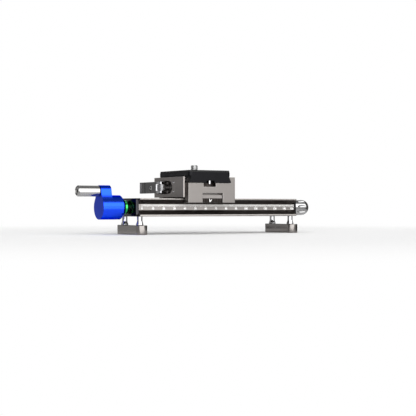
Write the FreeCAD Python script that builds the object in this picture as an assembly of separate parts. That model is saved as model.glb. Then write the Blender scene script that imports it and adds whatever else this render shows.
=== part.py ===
import FreeCAD, Part
import math
import os

# Macro focusing rail. Millimetres. +X runs along the rail away from the crank, -Y is the scale side,
# +Z is up. The origin lies on the rail's underside, midway between its cut ends.

V = FreeCAD.Vector

# Clearances
running_fit = 0.05          # radial play of a shaft in its bore
face_gap = 0.1              # axial play beside a turning piece
slide_gap = 0.3             # play between sliding metal faces
seat_gap = 0.05             # camera plate above the clamp floor
clamp_gap = 0.15            # jaw flanks to plate flanks when clamped
strip_gap = 0.15            # glide strip to the rail's flank, measured upright

# Rail extrusion
rail_length = 154.0
rail_width = 38.0
rail_height = 15.0
waist_inset = 4.0
upper_lip = 1.1
upper_flank_rise = 3.5
lower_lip = 1.5
lower_flank_rise = 3.7
left_plate_thickness = 2.5
right_plate_thickness = 1.5
end_plate_margin = 1.3      # end plate beyond the rail's waist
end_plate_corner = 2.0
end_plate_bevel = 0.5

# Lead screw and its bearings
screw_radius = 3.0
journal_step = 0.5          # screw radius less journal radius
bearing_wall = 1.45
bearing_flange_length = 2.0
nut_floor = 1.45            # nut wall under the screw
nut_side_wall = 2.85
nut_length = 18.0
channel_gap = 0.35          # nut to the channel's walls
washer_thickness = 0.5
washer_radius = 4.6

# End plate screws
plate_screw_radius = 1.25
plate_screw_length = 9.0
plate_screw_wall = 1.3      # channel side to the screw
plate_screw_head_radius = 2.35
plate_screw_head_depth = 1.1

# Feet
left_foot_inset = 1.8       # rail end to the foot's centre line
right_foot_inset = 3.8
foot_bar_width = 10.0
foot_bar_height = 7.8
foot_bar_bevel = 0.7
foot_bar_overhang = 7.65    # post centre to the bar's end
foot_post_inset = 4.75      # rail flange edge to the post's centre
foot_post_height = 7.1
foot_post_radius = 2.25
foot_post_skirt_radius = 3.1
foot_post_skirt_height = 2.4
foot_screw_radius = 1.3
foot_screw_head_radius = 2.5
foot_screw_head_height = 2.4
foot_screw_head_recess = 0.6
foot_screw_skin = 0.5       # metal left over the screw's tip

# Crank
collar_radius = 5.8
collar_length = 4.0
collar_neck_radius = 4.3
collar_neck_length = 1.2
crank_radius = 10.0
crank_length = 21.1
crank_chamfer = 3.0
crank_edge = 0.5
crank_throw = 13.25         # screw axis to grip axis
crank_lobe_radius = 4.8
crank_lobe_thickness = 9.2
crank_lobe_hollow = 20.0    # radius of the lobe's hollow sides
crank_bore_depth = 12.0
crank_set_screw_radius = 1.5
crank_set_screw_setback = 5.0
set_screw_recess = 0.6
grip_radius = 4.55
grip_length = 19.1
grip_edge = 1.2
grip_wall = 2.4
spindle_head_length = 3.2
spindle_head_recess = 0.6
spindle_thread_depth = 7.0
socket_radius = 1.4
socket_depth = 1.8

# Fine knob
fine_knob_radius = 6.9
fine_knob_length = 22.4
fine_knob_dome = 5.6
fine_knob_bore_depth = 12.0
fine_knob_flutes = 8
flute_depth = 0.75
flute_sweep_radius = 12.0
flute_setback = 11.5
fine_set_screw_radius = 1.25
fine_set_screw_setback = 3.2

# Carriage block
block_length = 45.0
block_width = 53.0
block_centre_x = -14.0
block_height = 13.0         # rail top to clamp floor
block_edge = 0.4
skirt_drop = 3.7
strip_thickness = 1.2       # glide strip, measured upright
strip_end_margin = 1.6      # keeps the strips short of the end plates
gib_screw_radius = 0.8
gib_screw_count = 3
gib_screw_pitch = 14.0
gib_screw_recess = 0.5
nut_screw_spacing = 10.0
nut_screw_radius = 1.5
nut_screw_head_radius = 2.8
nut_screw_head_depth = 1.6
nut_screw_tip_gap = 0.6

# Clamp
jaw_height = 5.0            # jaws above the clamp floor
fixed_jaw_thickness = 4.55
jaw_cheek = 5.15            # moving jaw beside the plate's foot
jaw_tongue_reach = 12.0     # moving jaw under the plate's foot
jaw_tongue_width = 40.0
jaw_length = 53.0
jaw_lift = 0.9              # jaw bottom above the rail
jaw_skin = 1.5              # wall of the jaw's ends
jaw_corner = 1.2
jaw_travel = 1.4
guide_rod_radius = 2.0
guide_rod_spacing = 28.0
guide_rod_height = 7.0      # above the rail's top
guide_rod_anchor = 16.0     # length held in the block
guide_rod_tip_gap = 0.3
rod_bore_skin = 0.55        # metal between a rod's bore and the lever pocket
spring_wall = 0.6
spring_gap = 0.2
spring_length = 8.0

# Lever and its draw bolt
pocket_length = 29.0
pocket_height = 11.2
pocket_wall = 0.8           # metal between the pocket and the plate's foot
lever_pivot_y = 8.0
pocket_centre_y = 7.5
lever_height = 9.7
knuckle_height = 10.0
cam_radius = 4.2
heel_reach = 2.9            # pivot to the lever's near end
heel_round = 1.5
cam_slack = 0.2             # cam throw beyond the jaw's travel
cam_gap = 0.5
lever_pin_radius = 1.25
arm_outer = 3.05            # pivot to the arm's outer face
arm_gap = 0.5               # arm to the jaw's face
arm_length = 37.5
arm_end_round = 1.8
neck_slant_x = 2.4          # slanted end of the arm between the ears
neck_slant_y = 1.3
lever_screw_reach = 15.5
lever_screw_radius = 2.0
lever_screw_depth = 2.2
draw_bolt_radius = 1.6
draw_bolt_head_radius = 2.75
draw_bolt_head_length = 3.0
draw_bolt_recess = 0.2
eye_radius = 3.3
eye_height = 5.0
jaw_pin_radius = 0.9
jaw_pin_length = 3.4
jaw_pin_proud = 0.2
jaw_pin_reach = 17.5
jaw_pin_spacing = 7.7

# Release button
recess_width = 19.4
recess_height = 8.2
recess_offset = 0.7         # recess beyond the block's middle
button_height = 6.3
button_thickness = 3.2
button_inset = 0.5
button_band_height = 2.8    # smooth band over the ridges
button_band_lean = 0.5
button_travel = 1.4
button_stop_gap = 0.4       # left behind the pressed button
button_groove_pitch = 1.55
button_groove_depth = 0.4
button_pin_radius = 0.9
button_pin_spacing = 12.0
button_pin_drop = 1.3       # button top to pin axis
button_pin_length = 7.3
button_spring_length = 3.3

# Camera plate
plate_foot_width = 40.0
plate_depth = 55.0
plate_foot_edge = 1.2
plate_flank_run = 1.5
plate_flank_rise = 3.0
plate_slab_gap = 0.8        # slab above the jaws
plate_slab_height = 3.2
plate_corner = 3.0
pad_thickness = 1.5
pad_inset = 0.3
stop_pin_radius = 1.25
stop_pin_drop = 1.25        # below the plate
stop_pin_hold = 1.2         # held in the plate
stop_pin_inset = 1.5        # plate end to the pin's centre
stop_slot_width = 8.0
stop_slot_height = 1.75
stop_slot_wall = 0.45       # slot beyond the pin
stop_travel = 3.0
stop_gap = 0.3
notch_width = 11.6
notch_depth = 3.3
camera_screw_radius = 3.175
camera_neck_radius = 2.4    # plain neck below the thread
camera_screw_stand = 5.0
camera_head_radius = 7.5
camera_head_height = 2.8
camera_head_lift = 0.5      # screw head above the clamp floor
camera_clip_thickness = 0.8
camera_slot_width = 1.6
camera_slot_depth = 1.4

# Places that follow from the sizes
axis_z = rail_height / 2
rail_half = rail_width / 2
waist_half = rail_half - waist_inset
waist_low = lower_lip + lower_flank_rise
waist_high = rail_height - upper_lip - upper_flank_rise
flank_slope = upper_flank_rise / waist_inset
rail_left = -rail_length / 2
rail_right = rail_length / 2
left_face = rail_left - left_plate_thickness
right_face = rail_right + right_plate_thickness
journal_radius = screw_radius - journal_step
bearing_radius = journal_radius + running_fit + bearing_wall
nut_half = screw_radius + running_fit + nut_side_wall
nut_bottom = axis_z - screw_radius - running_fit - nut_floor
channel_half = nut_half + channel_gap
channel_floor = nut_bottom - channel_gap
bearing_flange_radius = axis_z - channel_floor - face_gap
thread_end = rail_right - bearing_flange_length - face_gap
plate_screw_y = channel_half + plate_screw_wall + plate_screw_radius
end_plate_half = waist_half + end_plate_margin

left_foot_x = rail_left + left_foot_inset
right_foot_x = rail_right - right_foot_inset
foot_post_y = rail_half - foot_post_inset
foot_top = -foot_post_height
foot_bottom = foot_top - foot_bar_height

washer_left = left_face - face_gap
collar_right = washer_left - washer_thickness
crank_right = collar_right - collar_length
crank_left = crank_right - crank_length
grip_right = crank_left - slide_gap
grip_left = grip_right - grip_length
grip_z = axis_z + crank_throw
spindle_head_left = grip_left + spindle_head_recess
spindle_head_right = spindle_head_left + spindle_head_length
spindle_radius = grip_radius - grip_wall - running_fit
spindle_head_radius = (spindle_radius + grip_radius) / 2 - face_gap
fine_knob_left = right_face + face_gap + washer_thickness
fine_knob_right = fine_knob_left + fine_knob_length

block_left = block_centre_x - block_length / 2
block_right = block_centre_x + block_length / 2
block_half = block_width / 2
block_under = rail_height + slide_gap
skirt_bottom = rail_height - skirt_drop
skirt_inner = rail_half + slide_gap
floor_z = rail_height + block_height
jaw_top = floor_z + jaw_height
recess_x = block_centre_x + recess_offset
strip_space = strip_thickness + strip_gap

foot_half = plate_foot_width / 2
plate_right = block_right - fixed_jaw_thickness - clamp_gap
plate_x = plate_right - foot_half
plate_left = plate_right - plate_foot_width
plate_bottom = floor_z + seat_gap
flank_low = plate_bottom + plate_foot_edge
flank_high = flank_low + plate_flank_rise
slab_bottom = jaw_top + plate_slab_gap
plate_top = slab_bottom + plate_slab_height
pad_top = plate_top + pad_thickness
plate_half_depth = plate_depth / 2
slot_top = plate_bottom + stop_slot_height
stop_pin_y = plate_half_depth - stop_pin_inset
notch_wall_y = stop_pin_y - stop_pin_radius - stop_travel - stop_gap

jaw_inner = plate_left - clamp_gap
jaw_left = jaw_inner - jaw_cheek
jaw_bottom = rail_height + jaw_lift
jaw_half = jaw_length / 2
tongue_right = jaw_inner + jaw_tongue_reach
tongue_half = jaw_tongue_width / 2
tongue_top = floor_z - slide_gap
bay_right = tongue_right + slide_gap
bay_half = tongue_half + slide_gap
lever_z = jaw_bottom + (floor_z - jaw_bottom) / 2 + (jaw_top - floor_z) / 2
pocket_floor_x = jaw_inner - pocket_wall
cam_throw = jaw_travel + cam_slack
pivot_x = pocket_floor_x - cam_gap - cam_radius - cam_throw
arm_left = pivot_x - arm_outer
arm_right = jaw_left - arm_gap
arm_end_y = lever_pivot_y + arm_length
rod_z = rail_height + guide_rod_height
rod_y = guide_rod_spacing / 2
rod_bore_end = pocket_floor_x + rod_bore_skin
rod_left = rod_bore_end + guide_rod_tip_gap
rod_right = bay_right + guide_rod_anchor

button_front = -block_half + button_inset
button_back = button_front + button_thickness
button_bottom = skirt_bottom + slide_gap
button_top = button_bottom + button_height
button_pin_z = button_top - button_pin_drop
button_pin_tip = button_back + button_pin_length
recess_back = button_back + button_travel + button_stop_gap


def box(x0, x1, y0, y1, z0, z1):
    return Part.makeBox(x1 - x0, y1 - y0, z1 - z0, V(x0, y0, z0))


def rod_along_x(radius, x0, x1, y, z):
    return Part.makeCylinder(radius, x1 - x0, V(x0, y, z), V(1, 0, 0))


def rod_along_y(radius, y0, y1, x, z):
    return Part.makeCylinder(radius, y1 - y0, V(x, y0, z), V(0, 1, 0))


def rod_along_z(radius, z0, z1, x, y):
    return Part.makeCylinder(radius, z1 - z0, V(x, y, z0), V(0, 0, 1))


def face_of(points):
    return Part.Face(Part.makePolygon(points + points[:1]))


def prism_along_x(outline, x0, x1):
    return face_of([V(x0, y, z) for y, z in outline]).extrude(V(x1 - x0, 0, 0))


def prism_along_y(outline, y0, y1):
    return face_of([V(x, y0, z) for x, z in outline]).extrude(V(0, y1 - y0, 0))


def prism_along_z(outline, z0, z1):
    return face_of([V(x, y, z0) for x, y in outline]).extrude(V(0, 0, z1 - z0))


def bar_along_y(x, half_length, radius, z0, z1):
    # upright-sided bar with half-round ends
    straight = half_length - radius
    middle = box(x - radius, x + radius, -straight, straight, z0, z1)
    ends = [rod_along_z(radius, z0, z1, x, y) for y in (-straight, straight)]
    return middle.fuse(ends).removeSplitter()


def edges_where(shape, test):
    return [edge for edge in shape.Edges if all(test(vertex.Point) for vertex in edge.Vertexes)]


def near(a, b):
    return abs(a - b) < 1e-4


def upright(edge):
    a = edge.Vertexes[0].Point
    b = edge.Vertexes[-1].Point
    return near(a.x, b.x) and near(a.y, b.y) and not near(a.z, b.z)


def export(node, *solids):
    shape = solids[0] if len(solids) == 1 else Part.makeCompound(list(solids))
    shape.exportStep(os.path.join("parts", node + ".step"))
    print(node, len(shape.Solids), "solids", round(shape.Volume, 2), "mm3", shape.isValid())


# ---- Rail ----

def rail_outline():
    right = [
        (rail_half, 0),
        (rail_half, lower_lip),
        (waist_half, waist_low),
        (waist_half, waist_high),
        (rail_half, rail_height - upper_lip),
        (rail_half, rail_height),
    ]
    left = [(-y, z) for y, z in reversed(right)]
    return right + left


def lower_flank_height(y):
    # top of the lower dovetail's metal at a distance y from the centre
    if y <= waist_half:
        return waist_low
    return waist_low - (y - waist_half) * lower_flank_rise / waist_inset


def plate_screw(side, outer_face):
    # countersunk screw that holds an end plate, pointing into the rail
    inward = -1 if outer_face > 0 else 1
    place = V(outer_face, side * plate_screw_y, axis_z)
    direction = V(inward, 0, 0)
    head = Part.makeCone(
        plate_screw_head_radius, plate_screw_radius, plate_screw_head_depth, place, direction)
    shank = Part.makeCylinder(plate_screw_radius, plate_screw_length, place, direction)
    return head.fuse(shank)


def plate_screws(outer_face):
    return [plate_screw(side, outer_face) for side in (-1, 1)]


def foot_screw_tip():
    return lower_flank_height(foot_post_y + foot_screw_radius) - foot_screw_skin


def foot_places():
    return [(x, y) for x in (left_foot_x, right_foot_x) for y in (-foot_post_y, foot_post_y)]


def foot_screw(x, y):
    head_bottom = foot_bottom + foot_screw_head_recess
    head_top = head_bottom + foot_screw_head_height
    head = rod_along_z(foot_screw_head_radius, head_bottom, head_top, x, y)
    socket = rod_along_z(socket_radius, head_bottom, head_bottom + socket_depth, x, y)
    shank = rod_along_z(foot_screw_radius, head_top, foot_screw_tip(), x, y)
    return head.fuse(shank).cut(socket)


def rail_extrusion():
    bar = prism_along_x(rail_outline(), rail_left, rail_right)
    channel = box(rail_left, rail_right, -channel_half, channel_half, channel_floor, rail_height)
    tools = [channel] + plate_screws(left_face) + plate_screws(right_face)
    tools += [rod_along_z(foot_screw_radius, 0, foot_screw_tip(), x, y) for x, y in foot_places()]
    return bar.cut(tools)


def end_plate(inner_face, outer_face):
    low, high = sorted((inner_face, outer_face))
    plate = box(low, high, -end_plate_half, end_plate_half, 0, rail_height)
    corners = [edge for edge in plate.Edges if not near(edge.Vertexes[0].X, edge.Vertexes[-1].X)]
    plate = plate.makeFillet(end_plate_corner, corners)
    rim = edges_where(plate, lambda p: near(p.x, outer_face))
    plate = plate.makeChamfer(end_plate_bevel, rim)
    bore = rod_along_x(bearing_radius, low, high, 0, axis_z)
    return plate.cut([bore] + plate_screws(outer_face))


def screw_bearing(inner_face, outer_face):
    inward = 1 if outer_face < 0 else -1
    low, high = sorted((inner_face, outer_face))
    sleeve = rod_along_x(bearing_radius, low, high, 0, axis_z)
    flange_low, flange_high = sorted((inner_face, inner_face + inward * bearing_flange_length))
    flange = rod_along_x(bearing_flange_radius, flange_low, flange_high, 0, axis_z)
    bore = rod_along_x(
        journal_radius + running_fit, min(low, flange_low), max(high, flange_high), 0, axis_z)
    return sleeve.fuse(flange).cut(bore)


def foot_bar(x):
    bar = bar_along_y(x, foot_post_y + foot_bar_overhang, foot_bar_width / 2, foot_bottom, foot_top)
    rim = edges_where(bar, lambda p: near(p.z, foot_bottom) or near(p.z, foot_top))
    rim = [edge for edge in rim if not upright(edge)]
    bar = bar.makeChamfer(foot_bar_bevel, rim)
    tools = []
    for y in (-foot_post_y, foot_post_y):
        head_top = foot_bottom + foot_screw_head_recess + foot_screw_head_height
        tools.append(rod_along_z(foot_screw_head_radius, foot_bottom, head_top, x, y))
        tools.append(rod_along_z(foot_screw_radius, head_top, foot_top, x, y))
    return bar.cut(tools)


def foot_post(x, y):
    skirt_top = foot_top + foot_post_skirt_height
    flare = Part.makeCone(
        foot_post_skirt_radius, foot_post_radius, foot_post_skirt_height, V(x, y, foot_top))
    stem = rod_along_z(foot_post_radius, skirt_top, 0, x, y)
    bore = rod_along_z(foot_screw_radius, foot_top, 0, x, y)
    return flare.fuse(stem).cut(bore)


# ---- Lead screw, crank and fine knob ----

def lead_screw():
    left_end = crank_right - crank_bore_depth + face_gap
    right_end = fine_knob_left + fine_knob_bore_depth - face_gap
    journals = rod_along_x(journal_radius, left_end, right_end, 0, axis_z)
    thread = rod_along_x(screw_radius, -thread_end, thread_end, 0, axis_z)
    return journals.fuse(thread)


def ring_along_x(outer, inner, x0, x1):
    return rod_along_x(outer, x0, x1, 0, axis_z).cut(rod_along_x(inner, x0, x1, 0, axis_z))


def thrust_washers():
    left = ring_along_x(washer_radius, journal_radius, collar_right, washer_left)
    right = ring_along_x(washer_radius, journal_radius, right_face + face_gap, fine_knob_left)
    return [left, right]


def lobe_hollow():
    # centre of the hollow side's arc, which touches the drum's circle and the lobe's
    to_drum = crank_lobe_hollow + crank_radius
    to_lobe = crank_lobe_hollow + crank_lobe_radius
    rise = (to_drum ** 2 + crank_throw ** 2 - to_lobe ** 2) / (2 * crank_throw)
    return V(crank_left, math.sqrt(to_drum ** 2 - rise ** 2), axis_z + rise)


def towards(start, goal, length):
    return start + (goal - start).normalize() * length


def mirrored(point):
    return V(point.x, -point.y, point.z)


def crank_lobe():
    # rounded lobe round the grip's axis, with hollow sides that run out into the drum
    drum_centre = V(crank_left, 0, axis_z)
    lobe_centre = V(crank_left, 0, grip_z)
    hollow = lobe_hollow()
    low = towards(drum_centre, hollow, crank_radius)
    high = towards(lobe_centre, hollow, crank_lobe_radius)
    waist = towards(hollow, (low + high) * 0.5, crank_lobe_hollow)
    top = V(crank_left, 0, grip_z + crank_lobe_radius)
    bottom = V(crank_left, 0, axis_z - crank_radius)
    wire = Part.Wire([
        Part.Arc(low, waist, high).toShape(),
        Part.Arc(high, top, mirrored(high)).toShape(),
        Part.Arc(mirrored(high), mirrored(waist), mirrored(low)).toShape(),
        Part.Arc(mirrored(low), bottom, low).toShape(),
    ])
    return Part.Face(wire).extrude(V(crank_lobe_thickness, 0, 0))


def crank_set_screw_x():
    return crank_right - crank_set_screw_setback


def crank_set_screw_hole():
    outer = axis_z - crank_radius
    return rod_along_z(crank_set_screw_radius, outer, axis_z, crank_set_screw_x(), 0)


def crank_knob():
    straight_end = crank_right - crank_chamfer
    drum = rod_along_x(crank_radius, crank_left, straight_end, 0, axis_z)
    nose = Part.makeCone(
        crank_radius, crank_radius - crank_chamfer, crank_chamfer, V(straight_end, 0, axis_z), V(1, 0, 0))
    body = crank_lobe().fuse([drum, nose]).removeSplitter()
    face_rim = edges_where(body, lambda p: near(p.x, crank_left))
    body = body.makeChamfer(crank_edge, face_rim)
    shaft_bore = rod_along_x(journal_radius, crank_right - crank_bore_depth, crank_right, 0, axis_z)
    spindle_bore = rod_along_x(spindle_radius, crank_left, crank_left + spindle_thread_depth, 0, grip_z)
    return body.cut([shaft_bore, spindle_bore, crank_set_screw_hole()])


def crank_set_screw():
    tip = axis_z - journal_radius
    outer = axis_z - crank_radius + set_screw_recess
    screw = rod_along_z(crank_set_screw_radius, outer, tip, crank_set_screw_x(), 0)
    socket = rod_along_z(crank_set_screw_radius / 2, outer, outer + socket_depth, crank_set_screw_x(), 0)
    return screw.cut(socket)


def shaft_collar():
    step = collar_right - collar_neck_length
    barrel = ring_along_x(collar_radius, journal_radius, crank_right, step)
    neck = ring_along_x(collar_neck_radius, journal_radius, step, collar_right)
    return barrel.fuse(neck)


def grip_spindle():
    head = rod_along_x(spindle_head_radius, spindle_head_left, spindle_head_right, 0, grip_z)
    shank = rod_along_x(
        spindle_radius, spindle_head_right, crank_left + spindle_thread_depth, 0, grip_z)
    socket = rod_along_x(
        socket_radius, spindle_head_left, spindle_head_left + socket_depth, 0, grip_z)
    return head.fuse(shank).cut(socket)


def crank_grip():
    body = rod_along_x(grip_radius, grip_left, grip_right, 0, grip_z)
    body = body.makeChamfer(grip_edge, edges_where(body, lambda p: near(p.x, grip_left)))
    body = body.makeChamfer(crank_edge, edges_where(body, lambda p: near(p.x, grip_right)))
    bore = rod_along_x(spindle_radius + running_fit, grip_left, grip_right, 0, grip_z)
    well = rod_along_x(
        spindle_head_radius + face_gap, grip_left, spindle_head_right + slide_gap, 0, grip_z)
    return body.cut([bore, well])


def fine_knob():
    straight_end = fine_knob_right - fine_knob_dome
    drum = rod_along_x(fine_knob_radius, fine_knob_left, straight_end, 0, axis_z)
    dome = Part.makeSphere(fine_knob_radius)
    squash = FreeCAD.Matrix()
    squash.scale(fine_knob_dome / fine_knob_radius, 1, 1)
    dome = dome.transformGeometry(squash)
    dome.translate(V(straight_end, 0, axis_z))
    body = drum.fuse(dome)
    flutes = []
    reach = fine_knob_radius + flute_sweep_radius - flute_depth
    for index in range(fine_knob_flutes):
        angle = 2 * math.pi * index / fine_knob_flutes
        centre = V(
            fine_knob_left + flute_setback, reach * math.cos(angle), axis_z + reach * math.sin(angle))
        flutes.append(Part.makeSphere(flute_sweep_radius, centre))
    bore = rod_along_x(
        journal_radius, fine_knob_left, fine_knob_left + fine_knob_bore_depth, 0, axis_z)
    return body.cut(flutes + [bore, fine_set_screw_hole()])


def fine_set_screw_x():
    return fine_knob_left + fine_set_screw_setback


def fine_set_screw_hole():
    return rod_along_z(fine_set_screw_radius, axis_z - fine_knob_radius, axis_z, fine_set_screw_x(), 0)


def fine_knob_set_screw():
    tip = axis_z - journal_radius
    outer = axis_z - fine_knob_radius + set_screw_recess
    screw = rod_along_z(fine_set_screw_radius, outer, tip, fine_set_screw_x(), 0)
    socket = rod_along_z(fine_set_screw_radius / 2, outer, outer + socket_depth, fine_set_screw_x(), 0)
    return screw.cut(socket)


# ---- Carriage ----

def skirt_flank_height(y):
    # underside flank of the skirt's hook, parallel to the rail's upper flank
    return waist_high - strip_space + (y - waist_half) * flank_slope


def skirt_flank_reach(z):
    return waist_half + (z - waist_high + strip_space) / flank_slope


def carriage_outline():
    right = [
        (skirt_flank_reach(skirt_bottom), skirt_bottom),
        (block_half, skirt_bottom),
        (block_half, floor_z),
    ]
    left = [(-y, z) for y, z in reversed(right)]
    inner_left = [(-skirt_inner, skirt_flank_height(skirt_inner)), (-skirt_inner, block_under)]
    inner_right = [(-y, z) for y, z in reversed(inner_left)]
    return right + left + inner_left + inner_right


def fixed_jaw():
    inner = plate_right + clamp_gap
    outline = [
        (inner, floor_z),
        (inner, flank_low),
        (inner - plate_flank_run, flank_high),
        (inner - plate_flank_run, jaw_top),
        (block_right, jaw_top),
        (block_right, floor_z),
    ]
    return prism_along_y(outline, -block_half, block_half)


def notch(side):
    y0, y1 = sorted((side * notch_wall_y, side * (block_half + 1)))
    half = notch_width / 2
    return box(plate_x - half, plate_x + half, y0, y1, floor_z - notch_depth, floor_z + 1)


def nut_screw_places():
    return [block_centre_x - nut_screw_spacing / 2, block_centre_x + nut_screw_spacing / 2]


def nut_screw_tip():
    return axis_z + screw_radius + running_fit + nut_screw_tip_gap


def nut_screw(x):
    shank = rod_along_z(nut_screw_radius, nut_screw_tip(), floor_z, x, 0)
    head = Part.makeCone(
        nut_screw_radius, nut_screw_head_radius, nut_screw_head_depth,
        V(x, 0, floor_z - nut_screw_head_depth))
    return shank.fuse(head)


def gib_screw_places():
    first = -(gib_screw_count - 1) / 2
    return [block_centre_x + (first + index) * gib_screw_pitch for index in range(gib_screw_count)]


def gib_screw_z():
    strip_low = skirt_flank_height(skirt_inner)
    return strip_low + strip_thickness / 2


def gib_screw(x, outer):
    return rod_along_y(gib_screw_radius, skirt_inner, outer, x, gib_screw_z())


def rod_and_spring_bores():
    bores = []
    for y in (-rod_y, rod_y):
        bores.append(rod_along_x(guide_rod_radius, bay_right, rod_right, y, rod_z))
        bores.append(rod_along_x(spring_outer() + spring_gap, bay_right, spring_right(), y, rod_z))
    return bores


def spring_outer():
    return guide_rod_radius + spring_gap + spring_wall


def spring_right():
    return tongue_right + spring_length


def draw_bolt_bores():
    shank = rod_along_x(draw_bolt_radius, block_left, block_right, lever_pivot_y, lever_z)
    head = rod_along_x(
        draw_bolt_head_radius, block_right - draw_bolt_head_length - draw_bolt_recess, block_right,
        lever_pivot_y, lever_z)
    return [shank, head]


def button_pin_places():
    return [recess_x - button_pin_spacing / 2, recess_x + button_pin_spacing / 2]


def button_bores():
    depth = button_pin_tip + button_spring_length
    return [
        rod_along_y(button_pin_radius + running_fit, recess_back - 1, depth, x, button_pin_z)
        for x in button_pin_places()
    ]


def carriage_block():
    body = prism_along_x(carriage_outline(), block_left, block_right)
    corners = [edge for edge in body.Edges if near(abs(edge.Vertexes[0].Point.y), block_half)]
    corners = [edge for edge in corners if upright(edge)]
    body = body.makeChamfer(block_edge, corners)
    jaw = fixed_jaw()
    outer_rim = edges_where(jaw, lambda p: near(p.x, block_right) and not near(p.z, floor_z))
    outer_rim += [
        edge for edge in jaw.Edges
        if upright(edge) and near(edge.Vertexes[0].Point.x, block_right)
    ]
    jaw = jaw.makeChamfer(block_edge, outer_rim)
    body = body.fuse(jaw)
    bay = box(block_left - 1, bay_right, -bay_half, bay_half, block_under - 1, floor_z + 1)
    half = recess_width / 2
    recess = box(
        recess_x - half, recess_x + half, -block_half - 1, recess_back,
        skirt_bottom - 1, skirt_bottom + recess_height)
    tools = [bay, recess, notch(-1), notch(1)]
    tools += [nut_screw(x) for x in nut_screw_places()]
    tools += [gib_screw(x, block_half + 1) for x in gib_screw_places()]
    tools += rod_and_spring_bores() + draw_bolt_bores() + button_bores()
    return body.cut(tools)


def lead_nut():
    half = nut_length / 2
    body = box(
        block_centre_x - half, block_centre_x + half, -nut_half, nut_half, nut_bottom, block_under)
    bore = rod_along_x(
        screw_radius + running_fit, block_centre_x - half, block_centre_x + half, 0, axis_z)
    holes = [
        rod_along_z(nut_screw_radius, nut_screw_tip(), block_under, x, 0) for x in nut_screw_places()
    ]
    return body.cut([bore] + holes)


def glide_strip(side):
    # flat strip between a skirt's hook and the rail's upper flank
    low = skirt_flank_reach(skirt_bottom)
    bottom_inner = waist_half + (skirt_bottom - waist_high + strip_gap) / flank_slope
    outline = [
        (side * bottom_inner, skirt_bottom),
        (side * low, skirt_bottom),
        (side * skirt_inner, skirt_flank_height(skirt_inner)),
        (side * skirt_inner, skirt_flank_height(skirt_inner) + strip_thickness),
    ]
    return prism_along_x(outline, block_left + strip_end_margin, block_right - strip_end_margin)


def draw_bolt():
    head_right = block_right - draw_bolt_recess
    head_left = head_right - draw_bolt_head_length
    head = rod_along_x(draw_bolt_head_radius, head_left, head_right, lever_pivot_y, lever_z)
    shank = rod_along_x(draw_bolt_radius, pivot_x, head_left, lever_pivot_y, lever_z)
    low = lever_z - eye_height / 2
    eye = rod_along_z(eye_radius, low, low + eye_height, pivot_x, lever_pivot_y)
    bore = rod_along_z(lever_pin_radius + running_fit, low, low + eye_height, pivot_x, lever_pivot_y)
    socket = rod_along_x(socket_radius, head_right - socket_depth, head_right, lever_pivot_y, lever_z)
    return head.fuse([shank, eye]).cut([bore, socket])


def guide_rods():
    return [rod_along_x(guide_rod_radius, rod_left, rod_right, y, rod_z) for y in (-rod_y, rod_y)]


def jaw_springs():
    springs = []
    for y in (-rod_y, rod_y):
        outer = rod_along_x(spring_outer(), tongue_right, spring_right(), y, rod_z)
        inner = rod_along_x(guide_rod_radius + spring_gap, tongue_right, spring_right(), y, rod_z)
        springs.append(outer.cut(inner))
    return springs


# ---- Moving jaw and lever ----

def jaw_pin_places():
    y = lever_pivot_y - jaw_pin_reach
    return [(y, lever_z - jaw_pin_spacing / 2), (y, lever_z + jaw_pin_spacing / 2)]


def lever_pocket():
    z0 = lever_z - pocket_height / 2
    z1 = lever_z + pocket_height / 2
    end = pocket_height / 2
    y0 = pocket_centre_y - pocket_length / 2 + end
    y1 = pocket_centre_y + pocket_length / 2 - end
    outside = jaw_left - 1
    slot = box(outside, pocket_floor_x, y0, y1, z0, z1)
    ends = [rod_along_x(end, outside, pocket_floor_x, y, lever_z) for y in (y0, y1)]
    return slot.fuse(ends)


def moving_jaw():
    outline = [
        (jaw_left, jaw_bottom),
        (tongue_right, jaw_bottom),
        (tongue_right, tongue_top),
        (jaw_inner, tongue_top),
        (jaw_inner, flank_low),
        (jaw_inner + plate_flank_run, flank_high),
        (jaw_inner + plate_flank_run, jaw_top),
        (jaw_left, jaw_top),
    ]
    tongue = prism_along_y(outline, -tongue_half, tongue_half)
    skin = box(jaw_left, jaw_left + jaw_skin, -jaw_half, jaw_half, jaw_bottom, jaw_top)
    corners = [
        edge for edge in skin.Edges
        if upright(edge) and near(edge.Vertexes[0].Point.x, jaw_left)
    ]
    skin = skin.makeFillet(jaw_corner, corners)
    body = skin.fuse(tongue).removeSplitter()
    tools = [lever_pocket()]
    tools.append(rod_along_x(
        draw_bolt_radius + slide_gap, pocket_floor_x - 1, tongue_right + 1, lever_pivot_y, lever_z))
    for y in (-rod_y, rod_y):
        tools.append(rod_along_x(
            guide_rod_radius + running_fit, rod_bore_end, tongue_right + 1, y, rod_z))
    for y, z in jaw_pin_places():
        tools.append(rod_along_x(jaw_pin_radius, jaw_left - 1, jaw_pin_right(), y, z))
    return body.cut(tools)


def jaw_pin_right():
    return jaw_left - jaw_pin_proud + jaw_pin_length


def jaw_pins():
    left = jaw_left - jaw_pin_proud
    return [rod_along_x(jaw_pin_radius, left, jaw_pin_right(), y, z) for y, z in jaw_pin_places()]


def lever_screw_place():
    return arm_left, lever_pivot_y + lever_screw_reach


def ear_slot():
    # space between the lever's two ears, which holds the draw bolt's eye
    low = lever_z - eye_height / 2 - slide_gap
    high = lever_z + eye_height / 2 + slide_gap
    near_end = lever_pivot_y - heel_reach - 1
    far_end = lever_pivot_y + eye_radius + slide_gap
    outside = arm_left - 1
    inside = pivot_x + cam_throw + cam_radius + 1
    outline = [
        (outside, near_end),
        (inside, near_end),
        (inside, far_end),
        (arm_left + neck_slant_x, far_end),
        (arm_left, far_end + neck_slant_y),
        (outside, far_end + neck_slant_y),
    ]
    return prism_along_z(outline, low, high)


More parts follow.
